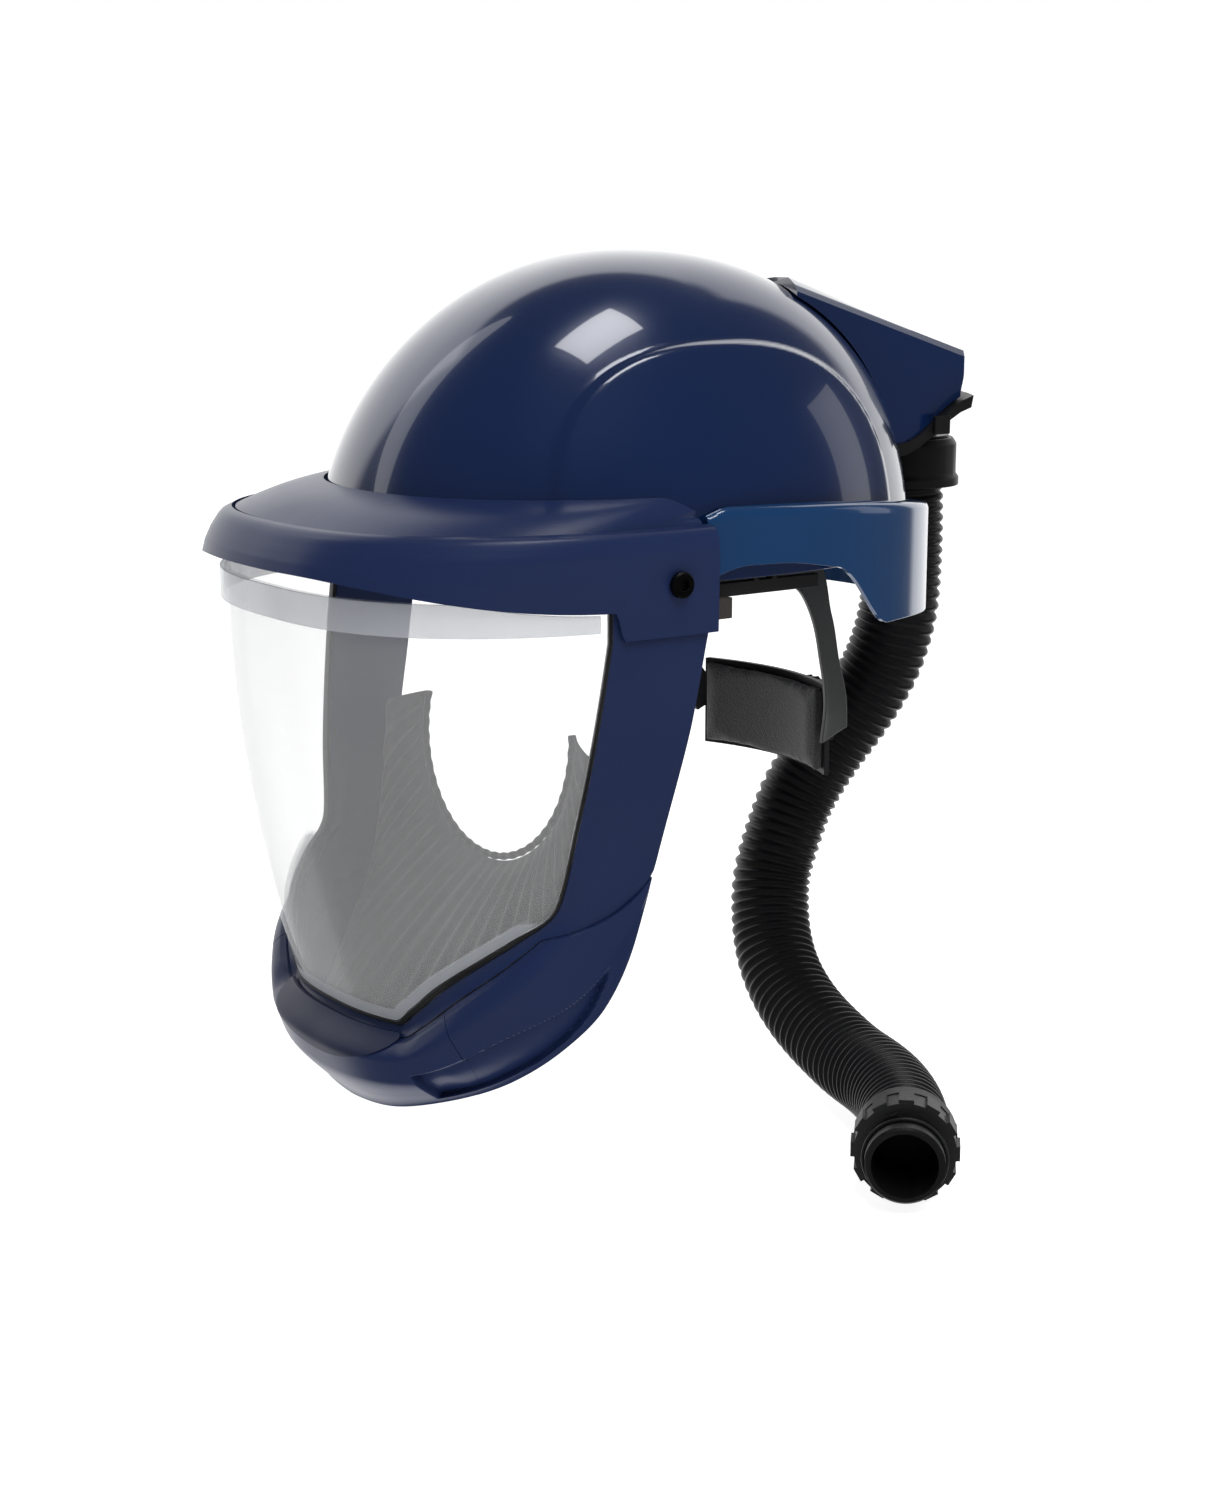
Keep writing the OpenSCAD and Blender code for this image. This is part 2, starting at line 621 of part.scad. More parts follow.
// Edge of the pane opening: angle and height, from the hinge side down to the chin.
function pane_edge(e = 0) = [[side_u(-82 - e, -4), -4], [side_u(-82 - e, -21), -21],
    [side_u(-82 - e, frame_top), frame_top], [side_u(-87 - e, -58), -58], [side_u(-93 - e, -100), -100],
    [side_u(-99 - e, -140), -140], [front_u(95 - e, -152 - drop / 2), -152 - drop / 2],
    [front_u(86 - e, -162 - drop), -162 - drop + e / 2], [front_u(70 - e, -177 - drop), -177 - drop + e],
    [front_u(56 - e, -190 - drop), -190 - drop + e], [front_u(46 - e, -pane_h + e), -pane_h + e],
    [front_u(24, -pane_h + e), -pane_h + e], [90, -pane_h + e]];
// Outer edge of the visor frame, paired with the pane edge.
jaw_edge = [[side_u(-64, -4), -4], [side_u(-64, -21), -21], [side_u(-34.5, frame_top), frame_top],
    [side_u(-41.5, -60), -60], [side_u(-52, -108), -108], [side_u(-58, -141), -141],
    [side_u(-63, -166), -166], [side_u(-72, -189), -189 - drop / 2], [side_u(-88, -207), -207 - drop],
    [front_u(74, -222), chin_z + 21], [front_u(52, -233), chin_z + 10], [front_u(28, -240), chin_z + 3],
    [90, chin_z]];
stations = len(jaw_edge) - 1;
jaw_start = 5;

// Place on the frame: s runs from the left hinge (0) round the chin to the right hinge (2 * stations),
// q from the pane edge (0) to the outer edge (1).
function frame_uz(s, q, e = 0) =
    let (t = s <= stations ? s : 2 * stations - s, a = table(pane_edge(e), t), b = table(jaw_edge, t),
        m = mix(a, b, q))
    s <= stations ? m : [180 - m[0], m[1]];
function frame_bulge(s, q) =
    let (t = min(s, 2 * stations - s))
    (1 + (chin_bulge - 1) * smooth((t - 4) / 4.5)) * smooth(q / 0.35) * (1 - 0.55 * smooth((q - 0.6) / 0.4))
    * smooth((t - 1.5) / 1.5);
function frame_point(s, q, off = 0) =
    let (m = frame_uz(s, q)) visor_point(m[0], m[1], frame_bulge(s, q) + off);

// Share of the frame's width that the frame itself covers: the jaw guards and the chin guard take the rest.
function frame_share(s) = let (t = min(s, 2 * stations - s)) 1 - 0.56 * smooth((t - jaw_start) / 1.6);

frame_steps = [for (i = [0:4 * stations]) i / 2];

module visor_frame() {
    qs = [0, 0.12, 0.25, 0.4, 0.55, 0.7, 0.85, 1];
    function grid(off) = [for (q = qs) [for (s = frame_steps) frame_point(s, q * frame_share(s), off)]];
    color([0.11, 0.15, 0.34]) skin(grid(-skin_wall), grid(0));
}

guard_split = 9.5;
guard_lap = 0.014;
split_gap = 0.01;

// A stretch of the lower visor edge between two stations, outside the frame.
module jaw_piece(from, to, proud) {
    ss = concat([from], [for (s = [ceil(from * 2 + 0.1) / 2:0.5:to - 0.1]) s], [to]);
    qs = [0, 0.08, 0.4, 0.75, 1];
    function lift(k) = proud * (k == 0 || k == len(qs) - 1 ? 0.3 : 1);
    function grid(off, lifted) = [for (k = [0:len(qs) - 1]) [for (s = ss)
        frame_point(s, mix(frame_share(s) + guard_lap, 1, qs[k]), off + (lifted ? lift(k) : 0))]];
    skin(grid(-skin_wall, false), grid(0, true));
}

module jaw_guard_left() color(navy) jaw_piece(jaw_start + 0.5, guard_split - split_gap, 1.2);
module jaw_guard_right() color(navy)
    jaw_piece(2 * stations - guard_split + split_gap, 2 * stations - jaw_start - 0.5, 1.2);
module chin_guard() color(navy)
    jaw_piece(guard_split + split_gap, 2 * stations - guard_split - split_gap, 1.2);

// A blank lens-shaped tab on the front of the chin.
module chin_tab() {
    xs = [for (i = [0:10]) -46 + 92 * i / 10];
    function depth(x) = 0.10 + 0.33 * (1 - pow(abs(x) / 46.5, 2.2));
    function station(x) = stations + (x < 0 ? 1 : -1) * 2.1 * abs(x) / 46;
    function grid(off) = [for (q = [0:0.125:1]) [for (x = xs)
        frame_point(station(-x), 0.06 + q * (depth(x) - 0.06), off)]];
    color([0.05, 0.09, 0.24]) skin(grid(2 * gap), grid(2 * gap + 1.6));
}

// The clear pane, cut to the frame's opening less the seal.
module visor_pane() {
    seal = 2.2;
    edge = pane_edge(seal);
    function grid(off) = [for (i = [0:20]) let (a = table(edge, i / 2)) [for (j = [0:20])
        visor_point(mix(a[0], 180 - a[0], j / 20), a[1], off)]];
    color([0.75, 0.8, 0.85, 0.35]) skin(grid(-pane_t), grid(0));
}

// The black seal between the pane and the frame.
module pane_seal() {
    function edge_point(s, e, off) = let (m = frame_uz(s, 0, e)) visor_point(m[0], m[1], off);
    function grid(off) = [for (e = [1.9, gap]) [for (s = frame_steps) edge_point(s, e, off)]];
    color(black) skin(grid(-pane_t - 0.4), grid(0.6));
}

// The stiff strip across the top of the pane.
module pane_top_strip() {
    a = side_u(-88, -10);
    us = [for (i = [0:20]) mix(a, 180 - a, i / 20)];
    function grid(off) = [for (row = [0, 1]) [for (u = us)
        visor_point(u, row == 0 ? min(-4, brim_foot(u) - 1) : -18, off)]];
    color([0.6, 0.62, 0.65, 0.6]) skin(grid(gap), grid(gap + 1.5));
}

brim_top = 14;
brim_low_front = 5;
brim_low_side = -10;
brim_lean = 8;

function brim_foot(u) =
    let (side = min(u, 180 - u), front = mix(brim_low_side, brim_low_front, smooth((side - 10) / 70)))
    mix(frame_top + 0.5, front, smooth((side - 11.8) / 1.4));

// The brim over the pane, with the hinge flaps at its ends.
module brim() {
    w = skin_wall;
    function lean(u) = brim_lean * smooth((min(u, 180 - u) - 14) / 40);
    function loop(in, share, z_of) = [for (u = brim_angles)
        let (i = in + share * lean(u), p = oval(brim_hw - i, brim_reach - i, brim_n, -u))
        [p.x, brim_y + p.y, z_of(u)]];
    function lip(z, in = 0) = [for (u = brim_angles)
        let (p = oval(lip_hw - in, lip_reach - in, brim_n, -u)) [p.x, brim_y + p.y, z]];
    function level(z) = function(u) z;
    outer = [lip(lip_z), loop(4, 0.9, level(lip_z - 0.6)), loop(1.4, 0.75, level(lip_z - 3.6)),
        loop(0, 0.5, level(brim_top)), loop(0, 0.2, function(u) mix(brim_top, brim_foot(u), 0.5)),
        loop(0.3, 0, function(u) brim_foot(u))];
    inner = [lip(lip_z - w), loop(w + 2, 0.9, level(lip_z - w - 0.4)),
        loop(w + 0.6, 0.75, level(lip_z - w - 3.2)),
        loop(w, 0.5, level(brim_top - 2)), loop(w, 0.2, function(u) mix(brim_top - 2, brim_foot(u), 0.5)),
        loop(w, 0, function(u) brim_foot(u))];
    color([0.1, 0.14, 0.33]) difference() {
        skin(outer, inner);
        translate([-brim_hw - 5, hinge_y, 0]) rotate([0, 90, 0])
            cylinder(r = hinge_r + run_gap, h = 2 * brim_hw + 10);
    }
}

// Low-headed screws behind the flaps hold the frame's tongues to the brim.
module frame_screws() color([0.5, 0.5, 0.52]) mirrored() {
    for (z = [-9, -17]) translate([visor_hw - skin_wall - 4, -73, z]) rotate([0, 90, 0])
        cylinder(r = 3, h = 2);
}

// Face seal ----------------------------------------------------------------------------------

face_y = -64;
face_z = -84;
face_hw = 62;
face_hh = 56;
face_turns = [for (i = [0:24]) mix(30, -210, i / 24)];

function face_rim(a, r = 0) = [(face_hw + r) * cos(a), face_y + 6 * sin(a), face_z + (face_hh + r) * sin(a)];
function face_root(i) =
    let (k = i <= 12 ? i : 24 - i, t = 3.6 + k * (stations - 3.6) / 12)
    frame_point(i <= 12 ? t : 2 * stations - t, 0.86, -skin_wall - 1.6);

module face_seal() {
    shares = [0, 0.3, 0.65, 1];
    function ray(i, k, t) = let (a = face_rim(face_turns[i], 2.3), b = face_root(i))
        mix(a, b, shares[k]) + [0, -t - 9 * sin(180 * shares[k]), 0];
    function grid(t) = [for (k = [0:3]) [for (i = [0:24]) ray(i, k, t)]];
    color([0.05, 0.05, 0.06]) skin(grid(1.2), grid(0));
}

// The elastic hem round the face opening.
module seal_hem() {
    sides = 8;
    function hoop(a) = [for (j = [0:sides - 1]) let (b = 360 * j / sides, p = face_rim(a, 0.2 + 1.7 * cos(b)))
        p + [0, 1.7 * sin(b) - 0.6, 0]];
    color([0.04, 0.04, 0.05]) rod([for (a = face_turns) hoop(a)]);
}

// Breathing hose -----------------------------------------------------------------------------

hose_route = [[0, 182, 16], [0, 183, -12], [0, 182, -42], [-5, 178, -72], [-15, 168, -100],
    [-26, 154, -126], [-33, 140, -154], [-33, 128, -183], [-24, 119, -210], [-7, 112, -231],
    [16, 108, -246], [42, 105, -255], [70, 101, -260], [96, 94, -260], [119, 83, -260], [137, 71, -260],
    [149, 61, -260]];
end_turn = atan2(-0.67, 0.74);
end_at = hose_route[len(hose_route) - 1];
hose_sides = 12;

function ring_heading(i) =
    let (n = len(hose_route) - 1, d = i == 0 ? [0, 0, -1] : i == n ? [cos(end_turn), sin(end_turn), 0]
        : hose_route[i + 1] - hose_route[i - 1])
    d / norm(d);
function ring_side(h) = let (s = cross(h, [0.6, 0.8, 0.1])) s / norm(s);
function hose_ring(i) =
    let (h = ring_heading(i), a = ring_side(h), b = cross(h, a))
    [for (j = [0:hose_sides - 1]) let (t = 360 * j / hose_sides)
        hose_route[i] + hose_d / 2 * (cos(t) * a + sin(t) * b)];

module hose() color(black) {
    rod([for (i = [0:len(hose_route) - 1]) hose_ring(i)]);
}

cuff_len = 12;
grip_at = cuff_len + 0.2;
grip_len = 13;
barrel_root = 3;
barrel_end = grip_at + grip_len + barrel_out;

module at_hose_end() {
    translate(end_at) rotate([0, 0, end_turn]) rotate([0, 90, 0]) children();
}

// The fixed cuff at the hose's lower end, which the connector turns in.
module hose_cuff_end() color(black) {
    at_hose_end() turned([[barrel_d / 2 - 2 + run_gap, 0], [hose_d / 2 + 1, 0], [hose_d / 2 + 1, 3],
        [hose_d / 2 + 3, 4], [hose_d / 2 + 3, cuff_len], [barrel_d / 2 - 2 + run_gap, cuff_len]]);
}

module connector_barrel() color(black) {
    at_hose_end() {
        turned([[barrel_bore / 2, barrel_root], [barrel_d / 2 - 2, barrel_root],
            [barrel_d / 2 - 2, grip_at], [barrel_d / 2, grip_at], [barrel_d / 2, barrel_end - 1],
            [barrel_d / 2 - 1, barrel_end], [barrel_bore / 2, barrel_end]]);
        for (a = [20, 200]) rotate([0, 0, a])
            translate([barrel_d / 2 - 0.6, -3, grip_at + grip_len + 2]) cube([2.6, 6, 3]);
    }
}

module grip_ring() color([0.12, 0.12, 0.13]) {
    r = grip_d / 2;
    at_hose_end() difference() {
        union() {
            translate([0, 0, grip_at]) cylinder(r = r - 1.5, h = grip_len);
            for (i = [0:11]) rotate([0, 0, i * 30]) translate([r - 4, -3.4, grip_at + 0.5])
                cube([4, 6.8, grip_len - 1]);
        }
        translate([0, 0, grip_at - 1]) cylinder(r = barrel_d / 2 + 0.02, h = grip_len + 2);
    }
}

module connector_oring() color(black) {
    at_hose_end() translate([0, 0, grip_at + grip_len + 8.5]) rotate_extrude()
        translate([barrel_d / 2 + 0.8, 0]) circle(r = 0.8);
}

helmet_shell();
duct_cover();
duct_base();
duct_clips();
duct_seal();
air_spigot();
spigot_oring();
hose_cuff_top();
cover_screws();
air_channel();
air_outlet();
peak_cover();
neck_guard();
side_bracket_left();
side_bracket_right();
hinge_bushes();
hinge_screws();
friction_washers();
headband();
band_guides();
sweatband();
crown_strap_long();
crown_strap_cross();
crown_pad();
harness_hooks();
rail_left();
rail_right();
hose();
hose_cuff_end();
brim();
visor_frame();
jaw_guard_left();
jaw_guard_right();
chin_guard();
chin_tab();
visor_pane();
pane_seal();
pane_top_strip();
frame_screws();
face_seal();
seal_hem();
nape_arm_left();
nape_arm_right();
nape_plate();
nape_pad();
ratchet_housing();
ratchet_knob();
pinion_shaft();
knob_screw();
connector_barrel();
grip_ring();
connector_oring();
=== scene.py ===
# %% [markdown]
# # A powered air respirator head top
# A hard helmet with a visor that swings up, an air duct at the back, a nape cradle and a
# breathing hose. The hard parts were drawn in CAD, and this lesson gives them their real
# surfaces: smoother shapes, soft goods, finishes and light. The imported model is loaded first,
# and it is the ruler for everything that follows.

import contextlib
import json
import math

import bmesh
import bpy
import numpy as np
from mathutils import Matrix, Vector

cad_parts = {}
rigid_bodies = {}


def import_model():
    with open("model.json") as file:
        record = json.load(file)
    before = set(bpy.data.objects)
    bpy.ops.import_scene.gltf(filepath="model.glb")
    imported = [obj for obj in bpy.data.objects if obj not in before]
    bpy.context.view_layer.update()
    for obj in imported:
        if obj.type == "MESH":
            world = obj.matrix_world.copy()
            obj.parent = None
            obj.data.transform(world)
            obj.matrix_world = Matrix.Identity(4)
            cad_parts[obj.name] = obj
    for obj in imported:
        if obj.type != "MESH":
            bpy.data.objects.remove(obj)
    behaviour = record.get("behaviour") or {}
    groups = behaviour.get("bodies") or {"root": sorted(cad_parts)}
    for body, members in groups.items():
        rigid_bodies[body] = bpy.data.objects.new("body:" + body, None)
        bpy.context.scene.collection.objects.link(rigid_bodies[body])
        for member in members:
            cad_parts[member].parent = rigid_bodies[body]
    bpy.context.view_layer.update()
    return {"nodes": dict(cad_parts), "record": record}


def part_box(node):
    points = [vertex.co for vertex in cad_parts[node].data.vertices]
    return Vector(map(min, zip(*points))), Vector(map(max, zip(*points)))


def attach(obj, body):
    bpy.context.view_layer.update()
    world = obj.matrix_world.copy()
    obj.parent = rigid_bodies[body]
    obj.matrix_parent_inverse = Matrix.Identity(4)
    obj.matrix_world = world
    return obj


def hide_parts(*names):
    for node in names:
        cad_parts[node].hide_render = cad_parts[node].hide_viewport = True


for thing in list(bpy.data.objects):
    bpy.data.objects.remove(thing)
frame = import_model()
MM = 0.001

# %% [markdown]
# ## Camera
# The camera looks a little down on the wearer's left front. A long lens keeps the helmet's
# curves true, and nothing is blurred.

# %% Camera
CAMERA_AT = (0.950, -0.665, 0.157)
CAMERA_TURN = (77.5, 0.0, 55.0)
LENS_MM = 59.57

camera = bpy.data.objects.new("camera", bpy.data.cameras.new("camera"))
bpy.context.scene.collection.objects.link(camera)
camera.location = CAMERA_AT
camera.rotation_euler = [math.radians(a) for a in CAMERA_TURN]
camera.data.sensor_fit = "VERTICAL"
camera.data.sensor_height = 36
camera.data.lens = LENS_MM
bpy.context.scene.camera = camera
print("camera at", CAMERA_AT)

# %% [markdown]
# ## Meshes from grids
# Most of these shells are thin walls whose outline follows a rule, so each is built as two
# grids of points, outside and inside, joined round their edges. Working on whole arrays keeps
# this quick even with a fine grid, and a fine grid is what makes a gloss surface reflect well.

# %% Curves and grids
def smooth(t):
    c = np.clip(t, 0, 1)
    return c * c * (3 - 2 * c)


def mix(a, b, t):
    return a + (b - a) * t


def cosd(a):
    return np.cos(np.radians(a))


def sind(a):
    return np.sin(np.radians(a))


def spow(v, e):
    return np.sign(v) * np.abs(v) ** e


def oval(half_w, half_l, n, u):
    """A rounded oval: u runs round it in degrees, and n is how square it is."""
    return half_w * spow(cosd(u), 2 / n), half_l * spow(sind(u), 2 / n)


def from_ear(u):
    """Degrees from the nearer ear, for angles from 0 at one ear to 180 at the other."""
    return np.minimum(u, 180 - u)


def points(*parts):
    return np.stack(np.broadcast_arrays(*parts), -1)


def even_turns(half_w, half_l, n, start, stop, count):
    """Angles that space points evenly along an oval."""
    u = np.linspace(start, stop, 8001)
    x, y = oval(half_w, half_l, n, u)
    run = np.concatenate([[0], np.cumsum(np.hypot(np.diff(x), np.diff(y)))])
    return np.interp(np.linspace(0, run[-1], count), run, u)


def flowing(rows, t):
    """A smooth line through the rows of a table that never overshoots them, read at t."""
    rows = np.asarray(rows, float)
    t = np.clip(np.asarray(t, float), 0, len(rows) - 1)
    d = np.diff(rows, axis=0)
    safe = np.where(d[:-1] + d[1:] == 0, 1, d[:-1] + d[1:])
    inner = np.where(d[:-1] * d[1:] > 0, 2 * d[:-1] * d[1:] / safe, 0)
    slope = np.concatenate([d[:1], inner, d[-1:]])
    i = np.clip(t.astype(int), 0, len(rows) - 2)
    f = (t - i)[..., None]
    a, b, m, n = rows[i], rows[i + 1], slope[i], slope[i + 1]
    return (a * (1 + 2 * f) * (1 - f) ** 2 + b * f * f * (3 - 2 * f)
            + m * f * (1 - f) ** 2 - n * f * f * (1 - f))


# %% [markdown]
# A few helpers add, edit, copy and mirror meshes. Two of them finish a piece: wall turns
# grids into a closed mesh with its faces pointing outwards, and soften rounds its edges.
# Moulded plastic always has a small radius along an edge, and the thin line of light that it
# catches is what makes it look real.

# %% Pieces
def added(name, data):
    """A new object in the scene."""
    piece = bpy.data.objects.new(name, data)
    bpy.context.scene.collection.objects.link(piece)
    return piece


@contextlib.contextmanager
def editing(mesh):
    """A mesh opened for editing, and written back at the end."""
    edit = bmesh.new()
    edit.from_mesh(mesh)
    yield edit
    edit.to_mesh(mesh)
    edit.free()


def add_mesh(name, verts, faces, uv=None):
    mesh = bpy.data.meshes.new(name)
    mesh.from_pydata([tuple(v) for v in np.asarray(verts) * MM], [], faces)
    if uv is not None:
        layer = mesh.uv_layers.new(name="UVMap")
        corner = np.zeros(len(mesh.loops), int)
        mesh.loops.foreach_get("vertex_index", corner)
        layer.data.foreach_set("uv", np.asarray(uv, np.float32)[corner].ravel())
    with editing(mesh) as edit:
        bmesh.ops.recalc_face_normals(edit, faces=edit.faces)
    return added(name, mesh)


def soften(piece, width=0.5, corner=35):
    """Smooth shading, with a small radius on every edge sharper than the corner angle."""
    piece.data.shade_smooth()
    piece.data.set_sharp_from_angle(angle=math.radians(corner))
    if width:
        bevel = piece.modifiers.new("edge radius", "BEVEL")
        bevel.width = width * MM
        bevel.segments = 2
        bevel.limit_method = "ANGLE"
        bevel.angle_limit = math.radians(corner)
        bevel.harden_normals = True
    return piece


def quads(*corners):
    return np.stack(corners, 1).tolist()


def wall(name, outer, inner, wrap=False, caps=False, uv=None, edge=0.5):
    """A thin wall between two grids. wrap joins the last column to the first."""
    rows, cols = outer.shape[:2]
    count = rows * cols
    span = cols if wrap else cols - 1
    j = np.arange(span)
    k = (j + 1) % cols
    faces = []
    for i in range(rows - 1):
        a, b = i * cols, (i + 1) * cols
        faces += quads(a + j, b + j, b + k, a + k)
        faces += quads(count + a + j, count + a + k, count + b + k, count + b + j)
    top = (rows - 1) * cols
    faces += quads(j, k, count + k, count + j)
    if caps:
        faces += [[top + c for c in range(cols)], [count + top + c for c in range(cols)][::-1]]
    else:
        faces += quads(top + k, top + j, count + top + j, count + top + k)
    if not wrap:
        for c in (0, cols - 1):
            i = np.arange(rows - 1) * cols + c
            faces += quads(i + cols, i, count + i, count + i + cols)
    verts = np.concatenate([outer.reshape(-1, 3), inner.reshape(-1, 3)])
    if uv is not None:
        uv = np.concatenate([uv.reshape(-1, 2)] * 2)
    return soften(add_mesh(name, verts, faces, uv), edge)


def plain_mesh(piece):
    graph = bpy.context.evaluated_depsgraph_get()
    return bpy.data.meshes.new_from_object(piece.evaluated_get(graph))


def coordinates(mesh):
    co = np.zeros(len(mesh.vertices) * 3)
    mesh.vertices.foreach_get("co", co)
    return co.reshape(-1, 3)


def baked(piece):
    """The piece with its modifiers worked into a plain mesh."""
    piece.data = plain_mesh(piece)
    piece.modifiers.clear()
    return piece


def mirrored(name, source):
    """The same piece for the other side of the head."""
    mesh = source.data.copy()
    mesh.vertices.foreach_set("co", (coordinates(mesh) * (-1, 1, 1)).ravel())
    mesh.flip_normals()
    return soften(added(name, mesh))


def box_mm(node):
    low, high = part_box(node)
    return np.array(low) / MM, np.array(high) / MM


# %% [markdown]
# ## Breathing hose
# A breathing hose is a thin rubber tube stiffened by rings. It hangs from the duct's cuff
# behind the neck and comes round to the wearer's left, where its bayonet end rests on the
# ground. Geometry Nodes sweep a circle along the route, and a wave in the radius makes the
# rings, so the ring pitch is one number.

# %% Hose route
HOSE_ROUTE = np.array([
    (0, 182, 16), (0, 183, -12), (0, 182, -42), (-5, 178, -72), (-15, 168, -100),
    (-26, 154, -126), (-33, 140, -154), (-33, 128, -183), (-24, 119, -210), (-7, 112, -231),
    (16, 108, -246), (42, 105, -255), (70, 101, -260), (96, 94, -260), (119, 83, -260),
    (137, 71, -260), (149, 61, -260)], float)
HOSE_D, RING_PITCH, RING_DEPTH, RING_STEP = 41.0, 5.4, 1.9, 0.0006
hose_line = flowing(HOSE_ROUTE, np.linspace(0, len(HOSE_ROUTE) - 1, 400))
for _ in range(60):
    hose_line[1:-1] = (hose_line[:-2] + 2 * hose_line[1:-1] + hose_line[2:]) / 4


# %% Hose tree
def new_tree(name, sizes):
    """A Geometry Nodes tree with a geometry socket and one number input for each size."""
    tree = bpy.data.node_groups.new(name, "GeometryNodeTree")
    tree.interface.new_socket("Geometry", in_out="INPUT", socket_type="NodeSocketGeometry")
    for size, value in sizes.items():
        socket = tree.interface.new_socket(size, in_out="INPUT", socket_type="NodeSocketFloat")
        socket.default_value = value
    tree.interface.new_socket("Geometry", in_out="OUTPUT", socket_type="NodeSocketGeometry")
    return tree


class Nodes:
    """Adds nodes to a tree: a type, its settings, and the values or links of its sockets."""

    def __init__(self, tree):
        self.tree = tree

    def __call__(self, kind, settings=None, sockets=None, out=0):
        node = self.tree.nodes.new(kind)
        for key, value in (settings or {}).items():
            if key == "stops":
                ramp = node.color_ramp
                while len(ramp.elements) < len(value):
                    ramp.elements.new(0.5)
                for element, (place, colour) in zip(ramp.elements, value):
                    element.position, element.color = place, colour
            else:
                setattr(node, key, value)
        for key, value in (sockets or {}).items():
            if isinstance(value, Value):
                self.tree.links.new(value.socket, node.inputs[key])
            else:
                node.inputs[key].default_value = value
        return Value(self, node.outputs[out])


class Value:
    """A socket that can be used in sums: each operator adds a Math node."""

    def __init__(self, add, socket):
        self.add, self.socket = add, socket

    def math(self, operation, *values):
        return self.add("ShaderNodeMath", {"operation": operation}, dict(enumerate(values)))

    def __add__(self, other):
        return self.math("ADD", self, other)

    def __sub__(self, other):
        return self.math("SUBTRACT", self, other)

    def __rsub__(self, other):
        return self.math("SUBTRACT", other, self)

    def __mul__(self, other):
        return self.math("MULTIPLY", self, other)

    def __truediv__(self, other):
        return self.math("DIVIDE", self, other)

    def __pow__(self, other):
        return self.math("POWER", self, other)

    def sine(self):
        return self.math("SINE", self)

    def within(self, low, high):
        """0 at low, 1 at high, held between."""
        return self.add("ShaderNodeMapRange", {"clamp": True},
                        {"Value": self, "From Min": low, "From Max": high})

    __radd__ = __add__
    __rmul__ = __mul__


def tree_ends(tree):
    """The tree's input values by name, and a function that links its result to the output."""
    source = tree.nodes.new("NodeGroupInput")
    target = tree.nodes.new("NodeGroupOutput")
    add = Nodes(tree)
    values = {s.name: Value(add, s) for s in source.outputs if s.name}
    return add, values, lambda value: tree.links.new(value.socket, target.inputs[0])


def grow(name, source, tree, sizes):
    """Runs a tree on a source object, with sizes in millimetres, and returns a plain mesh."""
    modifier = source.modifiers.new("grow", "NODES")
    modifier.node_group = tree
    for item in tree.interface.items_tree:
        if item.in_out == "INPUT" and item.name in sizes:
            modifier[item.identifier] = sizes[item.name] * MM
    mesh = plain_mesh(source)
    bpy.data.objects.remove(source)
    return added(name, mesh)


def line_object(name, line):
    curve = bpy.data.curves.new(name, "CURVE")
    curve.dimensions = "3D"
    spline = curve.splines.new("POLY")
    spline.points.add(len(line) - 1)
    spline.points.foreach_set("co", np.c_[np.asarray(line) * MM, np.ones(len(line))].ravel())
    return added(name, curve)


def material_named(name):
    return bpy.data.materials.get(name) or bpy.data.materials.new(name)


hose_tree = new_tree("ringed hose", {"Radius": 0.02, "Ring pitch": 0.005, "Ring depth": 0.002})
add, given, result = tree_ends(hose_tree)
length_on = add("GeometryNodeSplineParameter", out=1)
phase = (length_on * (2 * math.pi) / given["Ring pitch"]).sine()
crest = (phase * 0.5 + 0.5) ** 0.7
radius = given["Radius"] - given["Ring depth"] * (1 - crest)
fine = add("GeometryNodeResampleCurve", {"mode": "LENGTH"},
           {"Curve": given["Geometry"], "Length": RING_STEP})
held = add("GeometryNodeCaptureAttribute", sockets={"Geometry": fine})
capture = held.socket.node
capture.capture_items.new("FLOAT", "crest")
hose_tree.links.new(crest.socket, capture.inputs[1])
circle = add("GeometryNodeCurvePrimitiveCircle", {"mode": "RADIUS"},
             {"Resolution": 56, "Radius": 1.0})
swept = add("GeometryNodeCurveToMesh", sockets={"Curve": held, "Profile Curve": circle,
                                                "Scale": radius, "Fill Caps": True})
kept = add("GeometryNodeStoreNamedAttribute", {"data_type": "FLOAT", "domain": "POINT"},
           {"Geometry": swept, "Name": "crest", "Value": Value(add, capture.outputs[1])})
shaded = add("GeometryNodeSetShadeSmooth", sockets={"Geometry": kept})
whole = add("GeometryNodeRealizeInstances", sockets={"Geometry": shaded})
result(add("GeometryNodeSetMaterial", sockets={"Geometry": whole,
                                               "Material": material_named("hose rubber")}))

hose = grow("breathing_hose", line_object("hose line", hose_line), hose_tree,
            {"Radius": HOSE_D / 2, "Ring pitch": RING_PITCH, "Ring depth": RING_DEPTH})
print("hose", len(hose.data.polygons), "faces")

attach(hose, "helmet")
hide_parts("hose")

# %% [markdown]
# ## Finishes
# Each finish is a small recipe: a base colour that varies a little from place to place, a
# roughness broken up by handling marks, and a fine bump for the grain of the mould. Edges are
# a touch paler where hands and hooks rub them. Patterns are read in the object's own space, so
# they stay put when a joint moves.

# %% Finish helpers
def new_finish(name):
    material = material_named(name)
    material.use_nodes = True
    tree = material.node_tree
    tree.nodes.clear()
    add = Nodes(tree)
    place = add("ShaderNodeTexCoord", out=3)
    return material, add, place


def noise(add, place, scale, detail=3.0, stretch=None):
    """Even noise from 0 to 1. stretch squeezes it along an axis, for streaks."""
    if stretch:
        place = add("ShaderNodeMapping", sockets={"Vector": place, "Scale": stretch})
    return add("ShaderNodeTexNoise", {"noise_dimensions": "3D"},
               {"Vector": place, "Scale": scale, "Detail": detail, "Roughness": 0.5})


